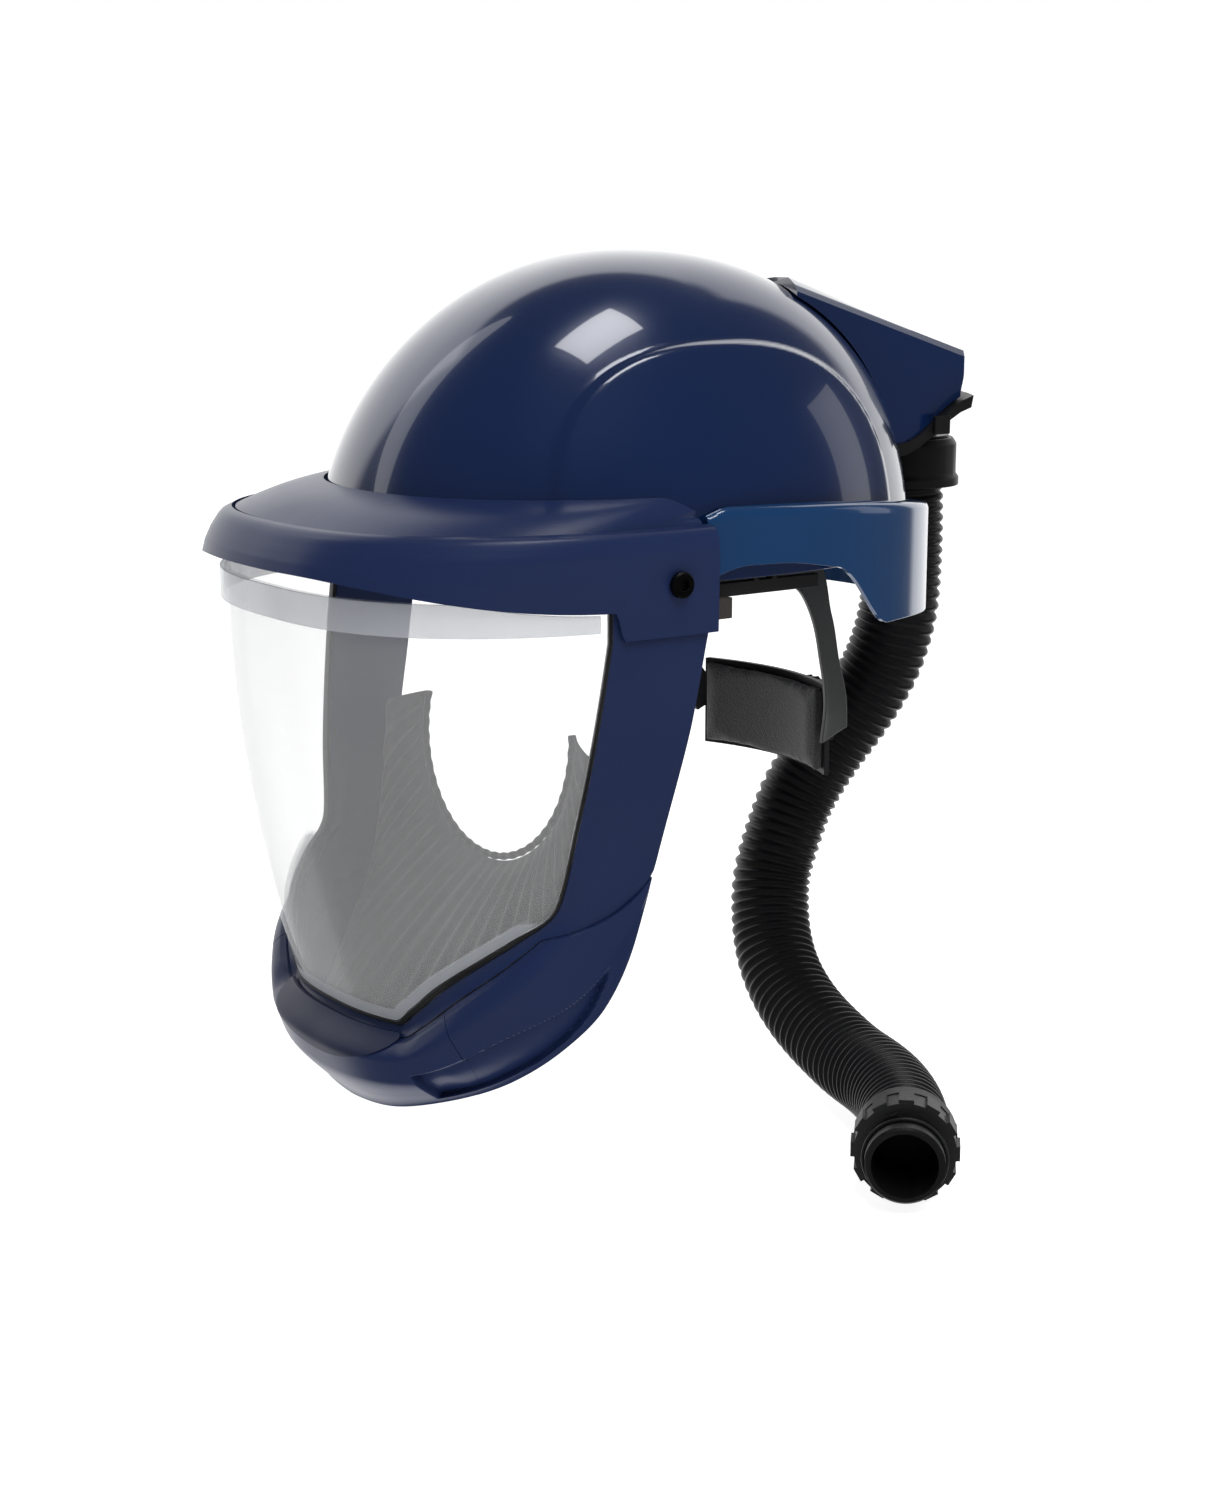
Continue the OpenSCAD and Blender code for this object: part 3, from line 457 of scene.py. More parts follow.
def rubbed_edges(add, low, high):
    """1 along worn outer edges, 0 elsewhere."""
    return add("ShaderNodeNewGeometry", out=7).within(low, high)


def blend_colours(add, share, first, second):
    return add("ShaderNodeMix", {"data_type": "RGBA"},
               {0: share, 6: (*first, 1), 7: (*second, 1)}, out=2)


def bump(add, height, strength, distance=0.001):
    return add("ShaderNodeBump", sockets={"Height": height, "Strength": strength,
                                          "Distance": distance})


def surface(material, add, varying, fixed):
    """Ends a recipe in one Principled shader: what varies is linked, what doesn't is set."""
    shader = add("ShaderNodeBsdfPrincipled", sockets={**fixed, **varying})
    output = add.tree.nodes.new("ShaderNodeOutputMaterial")
    add.tree.links.new(shader.socket, output.inputs["Surface"])
    print("finish", material.name)
    return material


# %% [markdown]
# Moulded plastics share one recipe. High gloss needs a low roughness and a clear coat, and
# its faint orange-peel ripple keeps a reflection from looking like a mirror's. Satin and
# matt parts have a coarser grain, and their highlights spread.

# %% Moulded plastics
def plastic(name, colour, pale, rough, grain, grain_size, coat=0.0, marks=0.06, pearl=0.0,
            shine=0.5):
    """colour drifts towards pale in faint clouds. grain is the bump's strength."""
    material, add, place = new_finish(name)
    clouds = noise(add, place, 9, 2).within(0.3, 0.75)
    handling = noise(add, place, 20, 3).within(0.3, 0.8)
    worn = rubbed_edges(add, 0.56, 0.74)
    body = blend_colours(add, clouds * 0.35 + worn * 0.3, colour, pale)
    skin_grain = noise(add, place, grain_size, 2)
    return surface(material, add, {
        "Base Color": body,
        "Roughness": handling * marks + worn * 0.06 + rough,
        "Normal": bump(add, skin_grain, grain, 0.0004)},
        {"Specular IOR Level": shine, "Metallic": pearl, "Coat Weight": coat,
         "Coat Roughness": 0.03})


shell_paint = plastic("shell gloss", (0.0035, 0.0135, 0.058), (0.0045, 0.018, 0.078),
                      0.20, 0.02, 120, coat=1.0, marks=0.04, pearl=0.10, shine=0.4)
guard_paint = plastic("guard gloss", (0.005, 0.036, 0.115), (0.007, 0.048, 0.145),
                      0.20, 0.02, 120, coat=0.9, marks=0.04, pearl=0.10, shine=0.4)
navy_satin = plastic("navy satin", (0.010, 0.019, 0.066), (0.016, 0.029, 0.090),
                     0.27, 0.12, 900, marks=0.08, shine=0.34)
# The chin tab's satin is painted shade: a darker copy of the navy satin, because the tab's top
# faces the light and the tab is really the same navy.
tab_satin_painted_shade = plastic("tab satin painted shade", (0.009, 0.014, 0.044), (0.014, 0.022, 0.060),
                    0.42, 0.18, 900, marks=0.10, shine=0.35)
black_plastic = plastic("black plastic", (0.005, 0.005, 0.0055), (0.012, 0.012, 0.013),
                        0.38, 0.22, 1100, marks=0.14, shine=0.38)
dark_plastic = plastic("dark plastic", (0.010, 0.010, 0.011), (0.022, 0.022, 0.024),
                       0.44, 0.26, 1000, marks=0.14, shine=0.38)
grey_plastic = plastic("grey plastic", (0.030, 0.031, 0.032), (0.055, 0.057, 0.058),
                       0.30, 0.16, 900, marks=0.12)
bracket_grey = plastic("bracket grey", (0.034, 0.030, 0.027), (0.060, 0.055, 0.050),
                       0.46, 0.24, 900, marks=0.12, shine=0.4)
ring_grey = plastic("grip grey", (0.014, 0.014, 0.015), (0.030, 0.031, 0.032),
                    0.42, 0.30, 1000, marks=0.14, shine=0.4)

# %% [markdown]
# Rubber is dull, and dust settles in the grooves between a hose's rings. The hose carries a
# value for how near each point is to a ring's crest, so the crests can be rubbed smooth and
# the grooves left dusty.

# %% Rubbers
def rubber(name, crest=False):
    material, add, place = new_finish(name)
    clouds = noise(add, place, 26, 3)
    body = blend_colours(add, clouds.within(0.35, 0.75), (0.007, 0.007, 0.008),
                         (0.020, 0.020, 0.021))
    rough = clouds * 0.16 + 0.26
    if crest:
        height = add("ShaderNodeAttribute", {"attribute_name": "crest"}, out=2)
        body = blend_colours(add, height.within(0.55, 0.0), (0.006, 0.006, 0.007),
                             (0.014, 0.014, 0.014))
        rough = 0.46 - height.within(0.4, 1.0) * 0.22 + clouds * 0.08
    return surface(material, add, {
        "Base Color": body, "Roughness": rough,
        "Normal": bump(add, noise(add, place, 1500, 2), 0.18, 0.0003)},
        {"Specular IOR Level": 0.32})


rubber("hose rubber", crest=True)
seal_rubber = rubber("seal rubber")

# %% [markdown]
# Steel parts are small, so they only need a brushed grain and a change of roughness where
# they have been turned. Blackened screws use the same recipe in a darker colour.

# %% Metals
def metal(name, colour, pale, rough):
    material, add, place = new_finish(name)
    brushed = noise(add, place, 500, 3, stretch=(1, 0.08, 1))
    body = blend_colours(add, brushed.within(0.3, 0.7), colour, pale)
    return surface(material, add, {
        "Base Color": body, "Roughness": brushed * 0.2 + rough,
        "Normal": bump(add, brushed, 0.12, 0.0002)}, {"Metallic": 1.0})


bare_steel = metal("bare steel", (0.42, 0.42, 0.43), (0.62, 0.62, 0.63), 0.24)
black_steel = metal("black steel", (0.018, 0.018, 0.019), (0.040, 0.040, 0.042), 0.30)

# %% [markdown]
# Textiles read their own UV map, laid out in millimetres, so that threads follow the cloth.
# Two waves at right angles give the over-and-under of a weave. Foam has no threads: small
# cells in the object's space make its pores.

# %% Textiles
def woven(name, colour, pale, threads, rough, strength, sheen):
    """threads is how many run in a millimetre of the UV map, each way."""
    material, add, place = new_finish(name)
    uv = add("ShaderNodeUVMap", {"uv_map": "UVMap"})
    across = add("ShaderNodeSeparateXYZ", sockets={"Vector": uv})
    along = Value(add, across.socket.node.outputs[1])
    turn = 2 * math.pi * threads
    weave = (across * turn).sine() * (along * turn).sine() * 0.5 + 0.5
    fuzz = noise(add, place, 700, 3)
    share = weave * 0.6 + fuzz * 0.4
    return surface(material, add, {
        "Base Color": blend_colours(add, share, colour, pale),
        "Roughness": fuzz * 0.15 + rough,
        "Normal": bump(add, share, strength, 0.0006)},
        {"Sheen Weight": sheen, "Sheen Roughness": 0.5, "Specular IOR Level": 0.25})


webbing = woven("black webbing", (0.008, 0.008, 0.009), (0.030, 0.030, 0.032),
                0.35, 0.72, 0.9, 0.25)
seal_cloth = woven("seal cloth", (0.006, 0.006, 0.007), (0.019, 0.019, 0.021),
                   0.7, 0.80, 0.5, 0.3)


def foam_finish(name):
    material, add, place = new_finish(name)
    cells = add("ShaderNodeTexVoronoi", sockets={"Vector": place, "Scale": 900.0})
    pores = cells.within(0.0, 0.6)
    dust = noise(add, place, 40, 3)
    return surface(material, add, {
        "Base Color": blend_colours(add, pores * 0.6 + dust * 0.4, (0.010, 0.010, 0.011),
                                    (0.036, 0.036, 0.038)),
        "Roughness": dust * 0.1 + 0.84,
        "Normal": bump(add, pores, 0.5, 0.0005)},
        {"Sheen Weight": 0.3, "Sheen Roughness": 0.6, "Specular IOR Level": 0.2})


foam = foam_finish("black foam")

# %% [markdown]
# The pane is clear sheet with a hard coat. A thin sheet hardly bends light, so it is drawn as
# a mix of plain see-through and a glossy skin, and the skin shows more at a glancing angle.
# Its lower edge is ground to a bevel, which scatters light and looks frosted.

# %% Clear parts
def clear_sheet(name, tint, veil, glance, haze, edge_veil):
    material, add, place = new_finish(name)
    facing = add("ShaderNodeLayerWeight", sockets={"Blend": 0.35}, out=1)
    edge = add("ShaderNodeAttribute", {"attribute_name": "frost"}, out=2)
    smears = noise(add, place, 14, 3, stretch=(1, 1, 0.35)).within(0.35, 0.8)
    wiped = noise(add, place, 700, 2, stretch=(1, 0.15, 1))
    alpha = smears * haze + veil + (facing ** 2.2) * glance + edge * edge_veil
    return surface(material, add, {
        "Base Color": blend_colours(add, edge, tint, (0.42, 0.44, 0.48)),
        "Roughness": smears * 0.03 + edge * 0.3 + 0.03,
        "Alpha": add("ShaderNodeClamp", sockets={"Value": alpha}),
        "Normal": bump(add, wiped, 0.01, 0.0001)},
        {"Specular IOR Level": 0.6})


clear_pane = clear_sheet("clear pane", (0.88, 0.89, 0.90), 0.10, 0.30, 0.03, 0.34)
clear_strip = clear_sheet("clear strip", (0.50, 0.52, 0.56), 0.40, 0.25, 0.06, 0.0)


def dress(piece, finish, slot, body, *nodes):
    """Gives a piece its finish and its body, and hides the nodes that it stands for."""
    piece.data.materials.clear()
    piece.data.materials.append(finish)
    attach(piece, body)
    if nodes:
        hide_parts(*nodes)
    print(piece.name, len(piece.data.polygons), "faces")
    return piece


# %% [markdown]
# ## Helmet shell
# The shell is a squashed ball, a little fuller at the back than at the front. On each side an
# arched panel above the ear stands proud of a shallow valley. Its rounded step makes the long
# curved lines of light that show how glossy the shell is.

# %% Helmet shell
SHELL_W, SHELL_L, SHELL_H, SHELL_WALL = 224.0, 290.0, 138.0, 3.0
SHELL_Y, SHELL_Z, PLAN_N = 5.0, -3.0, 2.2
PANEL_Y, PANEL_Z, PANEL_L, PANEL_H = 3.0, 18.0, 93.0, 80.0
PANEL_DEPTH, PANEL_N = 2.4, 2.4
DOME_N, DOME_LEAN = 2.13, 0.13


def shell_point(u, t, off=0.0):
    m = DOME_N + DOME_LEAN * sind(u)
    c, s = np.abs(cosd(t)) ** (2 / m), np.abs(sind(t)) ** (2 / m)
    x, y = oval((SHELL_W / 2 + off) * c, (SHELL_L / 2 + off) * c, PLAN_N, u)
    return points(x, SHELL_Y + y, SHELL_Z + (SHELL_H + off) * s)


def shell_height(x, y, off=0.0):
    px, py = np.abs(x) / (SHELL_W / 2 + off), np.abs(y - SHELL_Y) / (SHELL_L / 2 + off)
    rho = (px ** PLAN_N + py ** PLAN_N) ** (1 / PLAN_N)
    lean = np.where(y < SHELL_Y, -1, 1) * (py / np.maximum(rho, 0.001)) ** (PLAN_N / 2)
    m = DOME_N + DOME_LEAN * lean
    return SHELL_Z + (SHELL_H + off) * np.maximum(0, 1 - rho ** m) ** (1 / m)


def side_panel(p):
    """How far the valley round the panel sinks at these points of the shell."""
    up = np.maximum(p[..., 2] - PANEL_Z, 0) / PANEL_H
    along = np.abs(p[..., 1] - PANEL_Y) / PANEL_L
    out = (along ** PANEL_N + up ** PANEL_N) ** (1 / PANEL_N)
    return PANEL_DEPTH * smooth((out - 0.965) / 0.05) * (1 - smooth((out - 1.03) / 0.42))


shell_u = even_turns(SHELL_W / 2, SHELL_L / 2, PLAN_N, 0, 360, 289)[:-1][None, :]
shell_t = np.concatenate([np.linspace(0, 86, 110), [87.5, 88.6, 89.4, 89.85]])[:, None]
bare_shell = shell_point(shell_u, shell_t)
shell = wall("shell", shell_point(shell_u, shell_t, -side_panel(bare_shell)),
             shell_point(shell_u, shell_t, -SHELL_WALL - 0.5 * side_panel(bare_shell)),
             wrap=True, caps=True)
dress(shell, shell_paint, "shell_gloss", "helmet", "helmet_shell")

# %% [markdown]
# ## Air duct
# The air enters through the hose, turns forward under a cover and flows over the crown. The
# cover is a flat-sided tray with a paler bevel along its top edge. It is a grid again: rows
# run from the crown to the tail, and columns climb from one sill, over the top, to the other.

# %% Duct cover
DUCT_HW, DUCT_WALL, DUCT_REAR, DUCT_FRONT, SILL_GAP = 45.0, 2.5, 200.0, 74.0, 0.5
CHAMFER, TOP_LEVEL = 3.4, 1.3


def duct_y(y0, f):
    return (y0 - 20 * smooth((y0 - 120) / 80) * np.abs(f) ** 1.5
            + 14 * (1 - smooth((y0 - DUCT_FRONT) / 50)) * (1 - np.abs(f)))


def duct_line(y):
    return 142.6 - 0.317 * y


def duct_rim(y):
    return 42 + 22 * smooth((y - 138) / 50)


def cover_point(y0, f, level, inside=0.0):
    """f runs across; level climbs from the sill at 0 over the edge at 1 to the top at 2.4."""
    y = duct_y(y0, f)
    tuck = 2.2 * smooth((y - 140) / 40) * smooth(1 - level / 0.6)
    x = f * (DUCT_HW - inside - tuck)
    sill = np.maximum(shell_height(x, y, SILL_GAP), duct_rim(y))
    flange = sill + 2 - 0.45 * inside
    bevel = 0.6 + 3.2 * (1 - smooth((y - 70) / 120))
    edge = duct_line(y) - inside
    side = mix(sill, np.maximum(flange, edge - CHAMFER), np.minimum(level, 1))
    over = level - TOP_LEVEL
    rise = np.where(over < 0, CHAMFER * over / (TOP_LEVEL - 1), over * 1.4 * bevel)
    top = np.maximum(flange, edge + rise)
    return points(x, y, np.where(level <= 1, side, top))


COVER_PROFILE = np.array([(-1, 0), (-1, 0.5), (-1, 1), (-0.93, TOP_LEVEL), (-0.86, 1.6), (-0.76, 2),
                          (-0.4, 2.25), (0, 2.35), (0.4, 2.25), (0.76, 2), (0.86, 1.6),
                          (0.93, TOP_LEVEL), (1, 1), (1, 0.5), (1, 0)], float)
profile_at = np.concatenate([np.linspace(0, 2, 25), np.linspace(2, 12, 61)[1:],
                             np.linspace(12, 14, 25)[1:]])
profile = points(*[np.interp(profile_at, np.arange(15), COVER_PROFILE[:, k]) for k in (0, 1)])
last_row = DUCT_REAR - DUCT_WALL
cover_rows = np.concatenate([np.linspace(DUCT_FRONT, last_row, 110),
                             [last_row + 0.2, DUCT_REAR - 1, DUCT_REAR]])[:, None]
cover_out = cover_point(cover_rows, profile[None, :, 0], profile[None, :, 1])
cover_in = cover_point(cover_rows, profile[None, :, 0], profile[None, :, 1], DUCT_WALL)
flat_lip = cover_point(cover_rows, np.linspace(-0.99, 0.99, len(profile))[None, :], 0.0, DUCT_WALL)
closed_off = (cover_rows > last_row + 0.1) | (cover_rows == DUCT_FRONT)
cover_in = np.where(closed_off[..., None], flat_lip, cover_in)
duct_cover = wall("air_duct_cover", cover_out, cover_in, edge=0.7)
dress(duct_cover, shell_paint, "shell_gloss", "helmet", "duct_cover")

# %% [markdown]
# ## Peak cover and neck guard
# The peak cover is the sloping collar between the shell and the visor's brim. The neck guard
# is a curved apron round the back and sides, with an arch over each ear. Both follow the
# shell's oval at a set distance, so both are one formula read at many angles.

# %% Peak cover
BRIM_Y, BRIM_N, BRIM_HW, BRIM_REACH = -31.0, 2.6, 125.0, 160.0
LIP_HW, LIP_REACH, LIP_Z = 116.0, 145.5, 23.0
PEAK_Z, PEAK_T, SKIN = 34.0, 2.0, 2.5

brim_u = even_turns(BRIM_HW, BRIM_REACH, BRIM_N, 0, 180, 321)
brim_side = from_ear(brim_u)


def peak_edge(u, side):
    x, y = oval(LIP_HW - 1.2, LIP_REACH - 1.6, BRIM_N, -u)
    return points(x, BRIM_Y + y, LIP_Z - 0.4 - 3 * (1 - smooth(side / 16)))


def peak_root(u, side):
    s = np.clip(u, 7, 173)
    rise = PEAK_Z - 9 * (1 - smooth((side - 3) / 11))
    t = np.degrees(np.arcsin(((rise - SHELL_Z) / (SHELL_H + 0.6)) ** 1.05))
    p = shell_point(-(90 + (s - 90) * 0.93), t, 0.9)
    return points(p[..., 0], p[..., 1], rise)


share = np.linspace(0, 1, 25)[:, None, None]
peak_out = mix(peak_edge(brim_u, brim_side)[None], peak_root(brim_u, brim_side)[None], share)
peak_out[..., 2] += 1.6 * sind(180 * share[..., 0])
peak_in = peak_out - np.array([0, 0, PEAK_T])
peak = wall("peak_collar", peak_out, peak_in)
dress(peak, navy_satin, "navy_satin", "helmet", "peak_cover")

# %% Neck guard
GUARD_GAP, GUARD_DRAW = 9.0, 4.5


def guard_top(u):
    return (28.5 - 15.5 * smooth((from_ear(u) + 10) / 100)
            - 4 * smooth((-7 - from_ear(u)) / 6))


def guard_foot(u):
    side = from_ear(u)
    return (3.5 - 8.5 * smooth((-3.5 - side) / 13) - 5 * smooth(side / 14)
            - 29 * smooth((side - 11) / 15) - 4 * smooth((side - 25) / 40))


def guard_point(u, off, z):
    drawn = GUARD_DRAW * (1 - smooth((from_ear(u) + 7.5) / 11.5)) if off > GUARD_DRAW else 0
    x, y = oval(SHELL_W / 2 + off - drawn, SHELL_L / 2 + off - drawn, PLAN_N, u)
    return points(x, SHELL_Y + y, z)


guard_u = even_turns(SHELL_W / 2 + GUARD_GAP, SHELL_L / 2 + GUARD_GAP, PLAN_N, -11.4, 191.4, 421)
top, foot = guard_top(guard_u), guard_foot(guard_u)
guard_out = [guard_point(guard_u, GUARD_GAP, mix(foot, top - 3, k)) for k in np.linspace(0, 1, 17)]
guard_out += [guard_point(guard_u, GUARD_GAP - 0.55, top - 1.2),
              guard_point(guard_u, GUARD_GAP - 2, top), guard_point(guard_u, 0.8, top + 0.6)]
guard_in = [guard_point(guard_u, GUARD_GAP - SKIN, mix(foot, top - 5, k))
            for k in np.linspace(0, 1, 17)]
guard_in += [guard_point(guard_u, GUARD_GAP - SKIN - 0.4, top - SKIN - 1.2),
             guard_point(guard_u, GUARD_GAP - SKIN - 1, top - SKIN),
             guard_point(guard_u, 0.8, top - SKIN + 0.4)]
guard = wall("neck_apron", np.array(guard_out), np.array(guard_in), edge=0.6)
dress(guard, guard_paint, "guard_gloss", "helmet", "neck_guard")

# %% [markdown]
# ## Visor
# The visor unit turns on two bushes at the temples. Its surface narrows towards the chin, and
# every part of it is read from that one surface: u runs round from ear to ear, z runs down.
# Two outlines, the pane's and the frame's, are tables of a few corners, and a flowing line
# through them gives clean curves.

# %% Visor surface
VISOR_Y, VISOR_TOP, VISOR_HW, VISOR_FRONT, VISOR_N = -34.0, -15.0, 122.0, 180.0, 2.6
PANE_H, CHIN_Z, FRAME_TOP, PANE_T = 197.0, -243.0, -22.5, 2.0
CHIN_BULGE, STATIONS, FRAME_STEPS = 14.0, 12, 337
HINGE_Y, HINGE_R = -52.0, 4.5


def visor_w(z):
    return VISOR_HW - 28 * (np.maximum(0, VISOR_TOP - z) / 185) ** 2


def visor_l(z):
    return VISOR_FRONT - 28 * (np.maximum(0, VISOR_TOP - z) / 185) ** 2 + VISOR_Y


def visor_point(u, z, off=0.0):
    x, y = oval(visor_w(z) + off, visor_l(z) + off, VISOR_N, -u)
    return points(x, VISOR_Y + y, z)


def side_u(y, z):
    return math.degrees(math.asin((max(0, VISOR_Y - y) / visor_l(z)) ** (VISOR_N / 2)))


def front_u(x, z):
    return math.degrees(math.acos((x / visor_w(z)) ** (VISOR_N / 2)))


def pane_edge(e=0.0):
    rows = [(side_u(y - e, z), z) for y, z in
            [(-82, -4), (-82, -21), (-82, FRAME_TOP), (-87, -58), (-93, -100), (-99, -140)]]
    rows += [(front_u(95 - e, -152), -152), (front_u(86 - e, -162), -162 + e / 2)]
    rows += [(front_u(x - e, z), z + e) for x, z in [(70, -177), (56, -190), (46, -PANE_H)]]
    return rows + [(front_u(24, -PANE_H + e), -PANE_H + e), (90, -PANE_H + e)]


JAW_EDGE = [(side_u(y, z), z) for y, z in
            [(-64, -4), (-64, -21), (-34.5, FRAME_TOP), (-41.5, -60), (-52, -108), (-58, -141),
             (-63, -166), (-72, -189), (-88, -207)]]
JAW_EDGE += [(front_u(74, -222), -222), (front_u(52, -233), -233), (front_u(28, -240), -240),
             (90, CHIN_Z)]


def near_end(s):
    """Stations count from one temple to the other; this folds the far half onto the near."""
    return np.minimum(s, 2 * STATIONS - s)


def frame_uz(s, q, e=0.0):
    t = near_end(s)
    m = mix(flowing(pane_edge(e), t), flowing(JAW_EDGE, t), np.asarray(q)[..., None])
    return np.where(s <= STATIONS, m[..., 0], 180 - m[..., 0]), m[..., 1]


def frame_bulge(s, q):
    t = near_end(s)
    return ((1 + (CHIN_BULGE - 1) * smooth((t - 4) / 4.5)) * smooth(q / 0.35)
            * (1 - 0.55 * smooth((q - 0.6) / 0.4)) * smooth((t - 1.5) / 1.5))


def frame_point(s, q, off=0.0):
    u, z = frame_uz(s, q)
    return visor_point(u, z, frame_bulge(s, q) + off)


def frame_share(s):
    """How much of the width the rim keeps: a slanting split gives the rest to the guards."""
    return 1 - 0.88 * smooth((near_end(s) - 4.45) / 1.5)


# %% Visor frame
frame_s = np.linspace(0, 2 * STATIONS, FRAME_STEPS)[None, :]
frame_q = np.linspace(0, 1, 29)[:, None] * frame_share(frame_s)
s_grid = frame_s + 0 * frame_q
visor_frame = wall("visor_rim", frame_point(s_grid, frame_q),
                   frame_point(s_grid, frame_q, -SKIN))
dress(visor_frame, navy_satin, "navy_satin", "visor_unit", "visor_frame")

# %% [markdown]
# The lower edge is covered by three pieces: a jaw guard on each side and a chin guard between
# them, split by a fine upright line. Each jaw guard has a long crescent pressed into it that
# ends in a deeper pocket at the front.

# %% Jaw and chin guards
PROUD, GROOVE, JAW_REAR = 1.6, 4.0, 4.6
SPLIT_TOP, SPLIT_FOOT, SPLIT_GAP, LAP = 8.3, 9.4, 0.006, 0.014


def crescent(s, q):
    """Share of the crescent's depth at a station s and a place q across the guard."""
    t = near_end(s)
    middle = 0.85 - 0.12 * smooth((t - 6) / 3)
    half = 0.19 * smooth((t - 5.8) / 2.6)
    inside = smooth((half - np.abs(q - middle)) / 0.022 + 0.5)
    pocket = 1 + 0.3 * smooth((t - 9.3) / 0.4)
    return inside * pocket * smooth((t - 6.1) / 0.5) * smooth((9.9 - t) / 0.08)


def jaw_piece(name, start, stop):
    k = np.linspace(0, 1, 81)[:, None]
    s = mix(start(k), stop(k), np.linspace(0, 1, 240)[None, :])
    q = mix(frame_share(s) + LAP, 1, k)
    grown = smooth((near_end(s) - 4.55) / 0.4)
    lift = PROUD * grown * (0.3 + 0.7 * smooth(k / 0.05) * smooth((1 - k) / 0.2))
    sunk = GROOVE * crescent(s, q)
    return wall(name, frame_point(s, q, lift - sunk),
                frame_point(s, q, -SKIN - 0.4 * sunk), edge=0.4)


def split(gap, far_side=False):
    """The stations along one upright split, as a formula of the place across the guard."""
    def at(k):
        s = mix(SPLIT_TOP, SPLIT_FOOT, k) + gap * (1 - smooth((k - 0.45) / 0.1))
        return 2 * STATIONS - s if far_side else s
    return at


def rear_end(s):
    """The same station all the way down, for the end under the frame's slanting edge."""
    return lambda k: s + 0 * k


jaw_left = jaw_piece("jaw_cover_left", rear_end(JAW_REAR), split(-SPLIT_GAP))
jaw_right = jaw_piece("jaw_cover_right", split(-SPLIT_GAP, True),
                      rear_end(2 * STATIONS - JAW_REAR))
chin = jaw_piece("chin_cover", split(SPLIT_GAP), split(SPLIT_GAP, True))
for piece, node in ((jaw_left, "jaw_guard_left"), (jaw_right, "jaw_guard_right"),
                    (chin, "chin_guard")):
    dress(piece, navy_satin, "navy_satin", "visor_unit", node)

# %% Chin tab
TAB_FOOT, TAB_TOP, TAB_HW, TAB_REACH, TAB_START = 1.0, 2.6, 46.0, 2.1, 0.06
tab_x = np.linspace(-TAB_HW, TAB_HW, 61)[None, :]
tab_depth = 0.10 + 0.33 * (1 - (np.abs(tab_x) / (TAB_HW + 0.5)) ** 2.2)
tab_q = TAB_START + np.linspace(0, 1, 17)[:, None] * (tab_depth - TAB_START)
tab_s = STATIONS + TAB_REACH * tab_x / TAB_HW + 0 * tab_q
chin_tab = wall("chin_lens_tab", frame_point(tab_s, tab_q, TAB_TOP),
                frame_point(tab_s, tab_q, TAB_FOOT))
# The chin tab takes the darker copy of the navy satin, which is painted shade.
dress(chin_tab, tab_satin_painted_shade, "navy_satin", "visor_unit", "chin_tab")

# %% [markdown]
# The clear pane fits the frame's opening and is held by a black rubber seal. A stiffer,
# hazier strip crosses its top under the brim. A value on each point of the pane says how near
# it is to the ground lower edge, and the finish turns that part frosted.

# %% Pane, seal and strip
SEAL, FROST_W, FROST_FROM = 2.2, 5.0, 5.6
pane_t = np.concatenate([np.linspace(0, 6, 41), np.linspace(6, 10, 61)[1:]])[:, None]
pane_start = flowing(pane_edge(SEAL), pane_t[:, 0])
fan = np.linspace(0, 1, 141)[None, :]
pane_u = mix(pane_start[:, :1], 180 - pane_start[:, :1], fan)
pane_z = pane_start[:, 1:] + 0 * fan
pane_out = visor_point(pane_u, pane_z)
pane = wall("clear_pane", pane_out, visor_point(pane_u, pane_z, -PANE_T), edge=0.3)
low_rows = pane_t[:, 0] >= FROST_FROM
outline = np.concatenate([pane_out[low_rows, 0], pane_out[low_rows, -1], pane_out[-1]])
spots = pane_out.reshape(-1, 3)
nearest = np.array([np.min(np.linalg.norm(outline - p, axis=1)) for p in spots])
frost = smooth((FROST_W - nearest) / 1.2 + 0.5)
frosted = pane.data.attributes.new("frost", "FLOAT", "POINT")
frosted.data.foreach_set("value", np.concatenate([frost, frost]).astype(np.float32))
dress(pane, clear_pane, "clear_pane", "visor_unit", "visor_pane")


def seal_point(s, e, off):
    u, z = frame_uz(s, 0.0, e)
    return visor_point(u, z, off)


seal_s = np.linspace(0, 2 * STATIONS, FRAME_STEPS)
seal_out = np.array([seal_point(seal_s, e, h) for e, h in
                     [(1.95, 0.15), (1.75, 0.6), (0.5, 0.6), (0.3, 0.2)]])
seal_in = np.array([seal_point(seal_s, e, -PANE_T - 0.4) for e in (1.95, 1.75, 0.5, 0.3)])
pane_seal = wall("pane_rubber", seal_out, seal_in, edge=0)
dress(pane_seal, seal_rubber, "black_rubber", "visor_unit", "pane_seal")


def brim_foot(u):
    side = from_ear(u)
    front = mix(-10, 5, smooth((side - 10) / 70))
    return mix(FRAME_TOP + 0.5, front, smooth((side - 11.8) / 1.4))


strip_from = side_u(-88, -10)
strip_u = np.linspace(strip_from, 180 - strip_from, 161)
strip_high = np.minimum(-4, brim_foot(strip_u) - 1)
rows = [mix(strip_high, -18, k) for k in np.linspace(0, 1, 9)]
strip = wall("pane_top_band", np.array([visor_point(strip_u, z, 1.8) for z in rows]),
             np.array([visor_point(strip_u, z, 0.3) for z in rows]), edge=0.3)
dress(strip, clear_strip, "strip_clear", "visor_unit", "pane_top_strip")

# %% [markdown]
# The brim is the satin hood over the pane. Its ends drop into flaps that turn on the hinge
# bushes. The rows below follow its section from the lip, round the shoulder and down the
# face, and a round hole is cut for each bush.

# %% Brim
BRIM_TOP, BRIM_LEAN, RUN_GAP = 14.0, 8.0, 0.08
BRIM_STEPS = [3, 1, 1, 3, 6, 8]


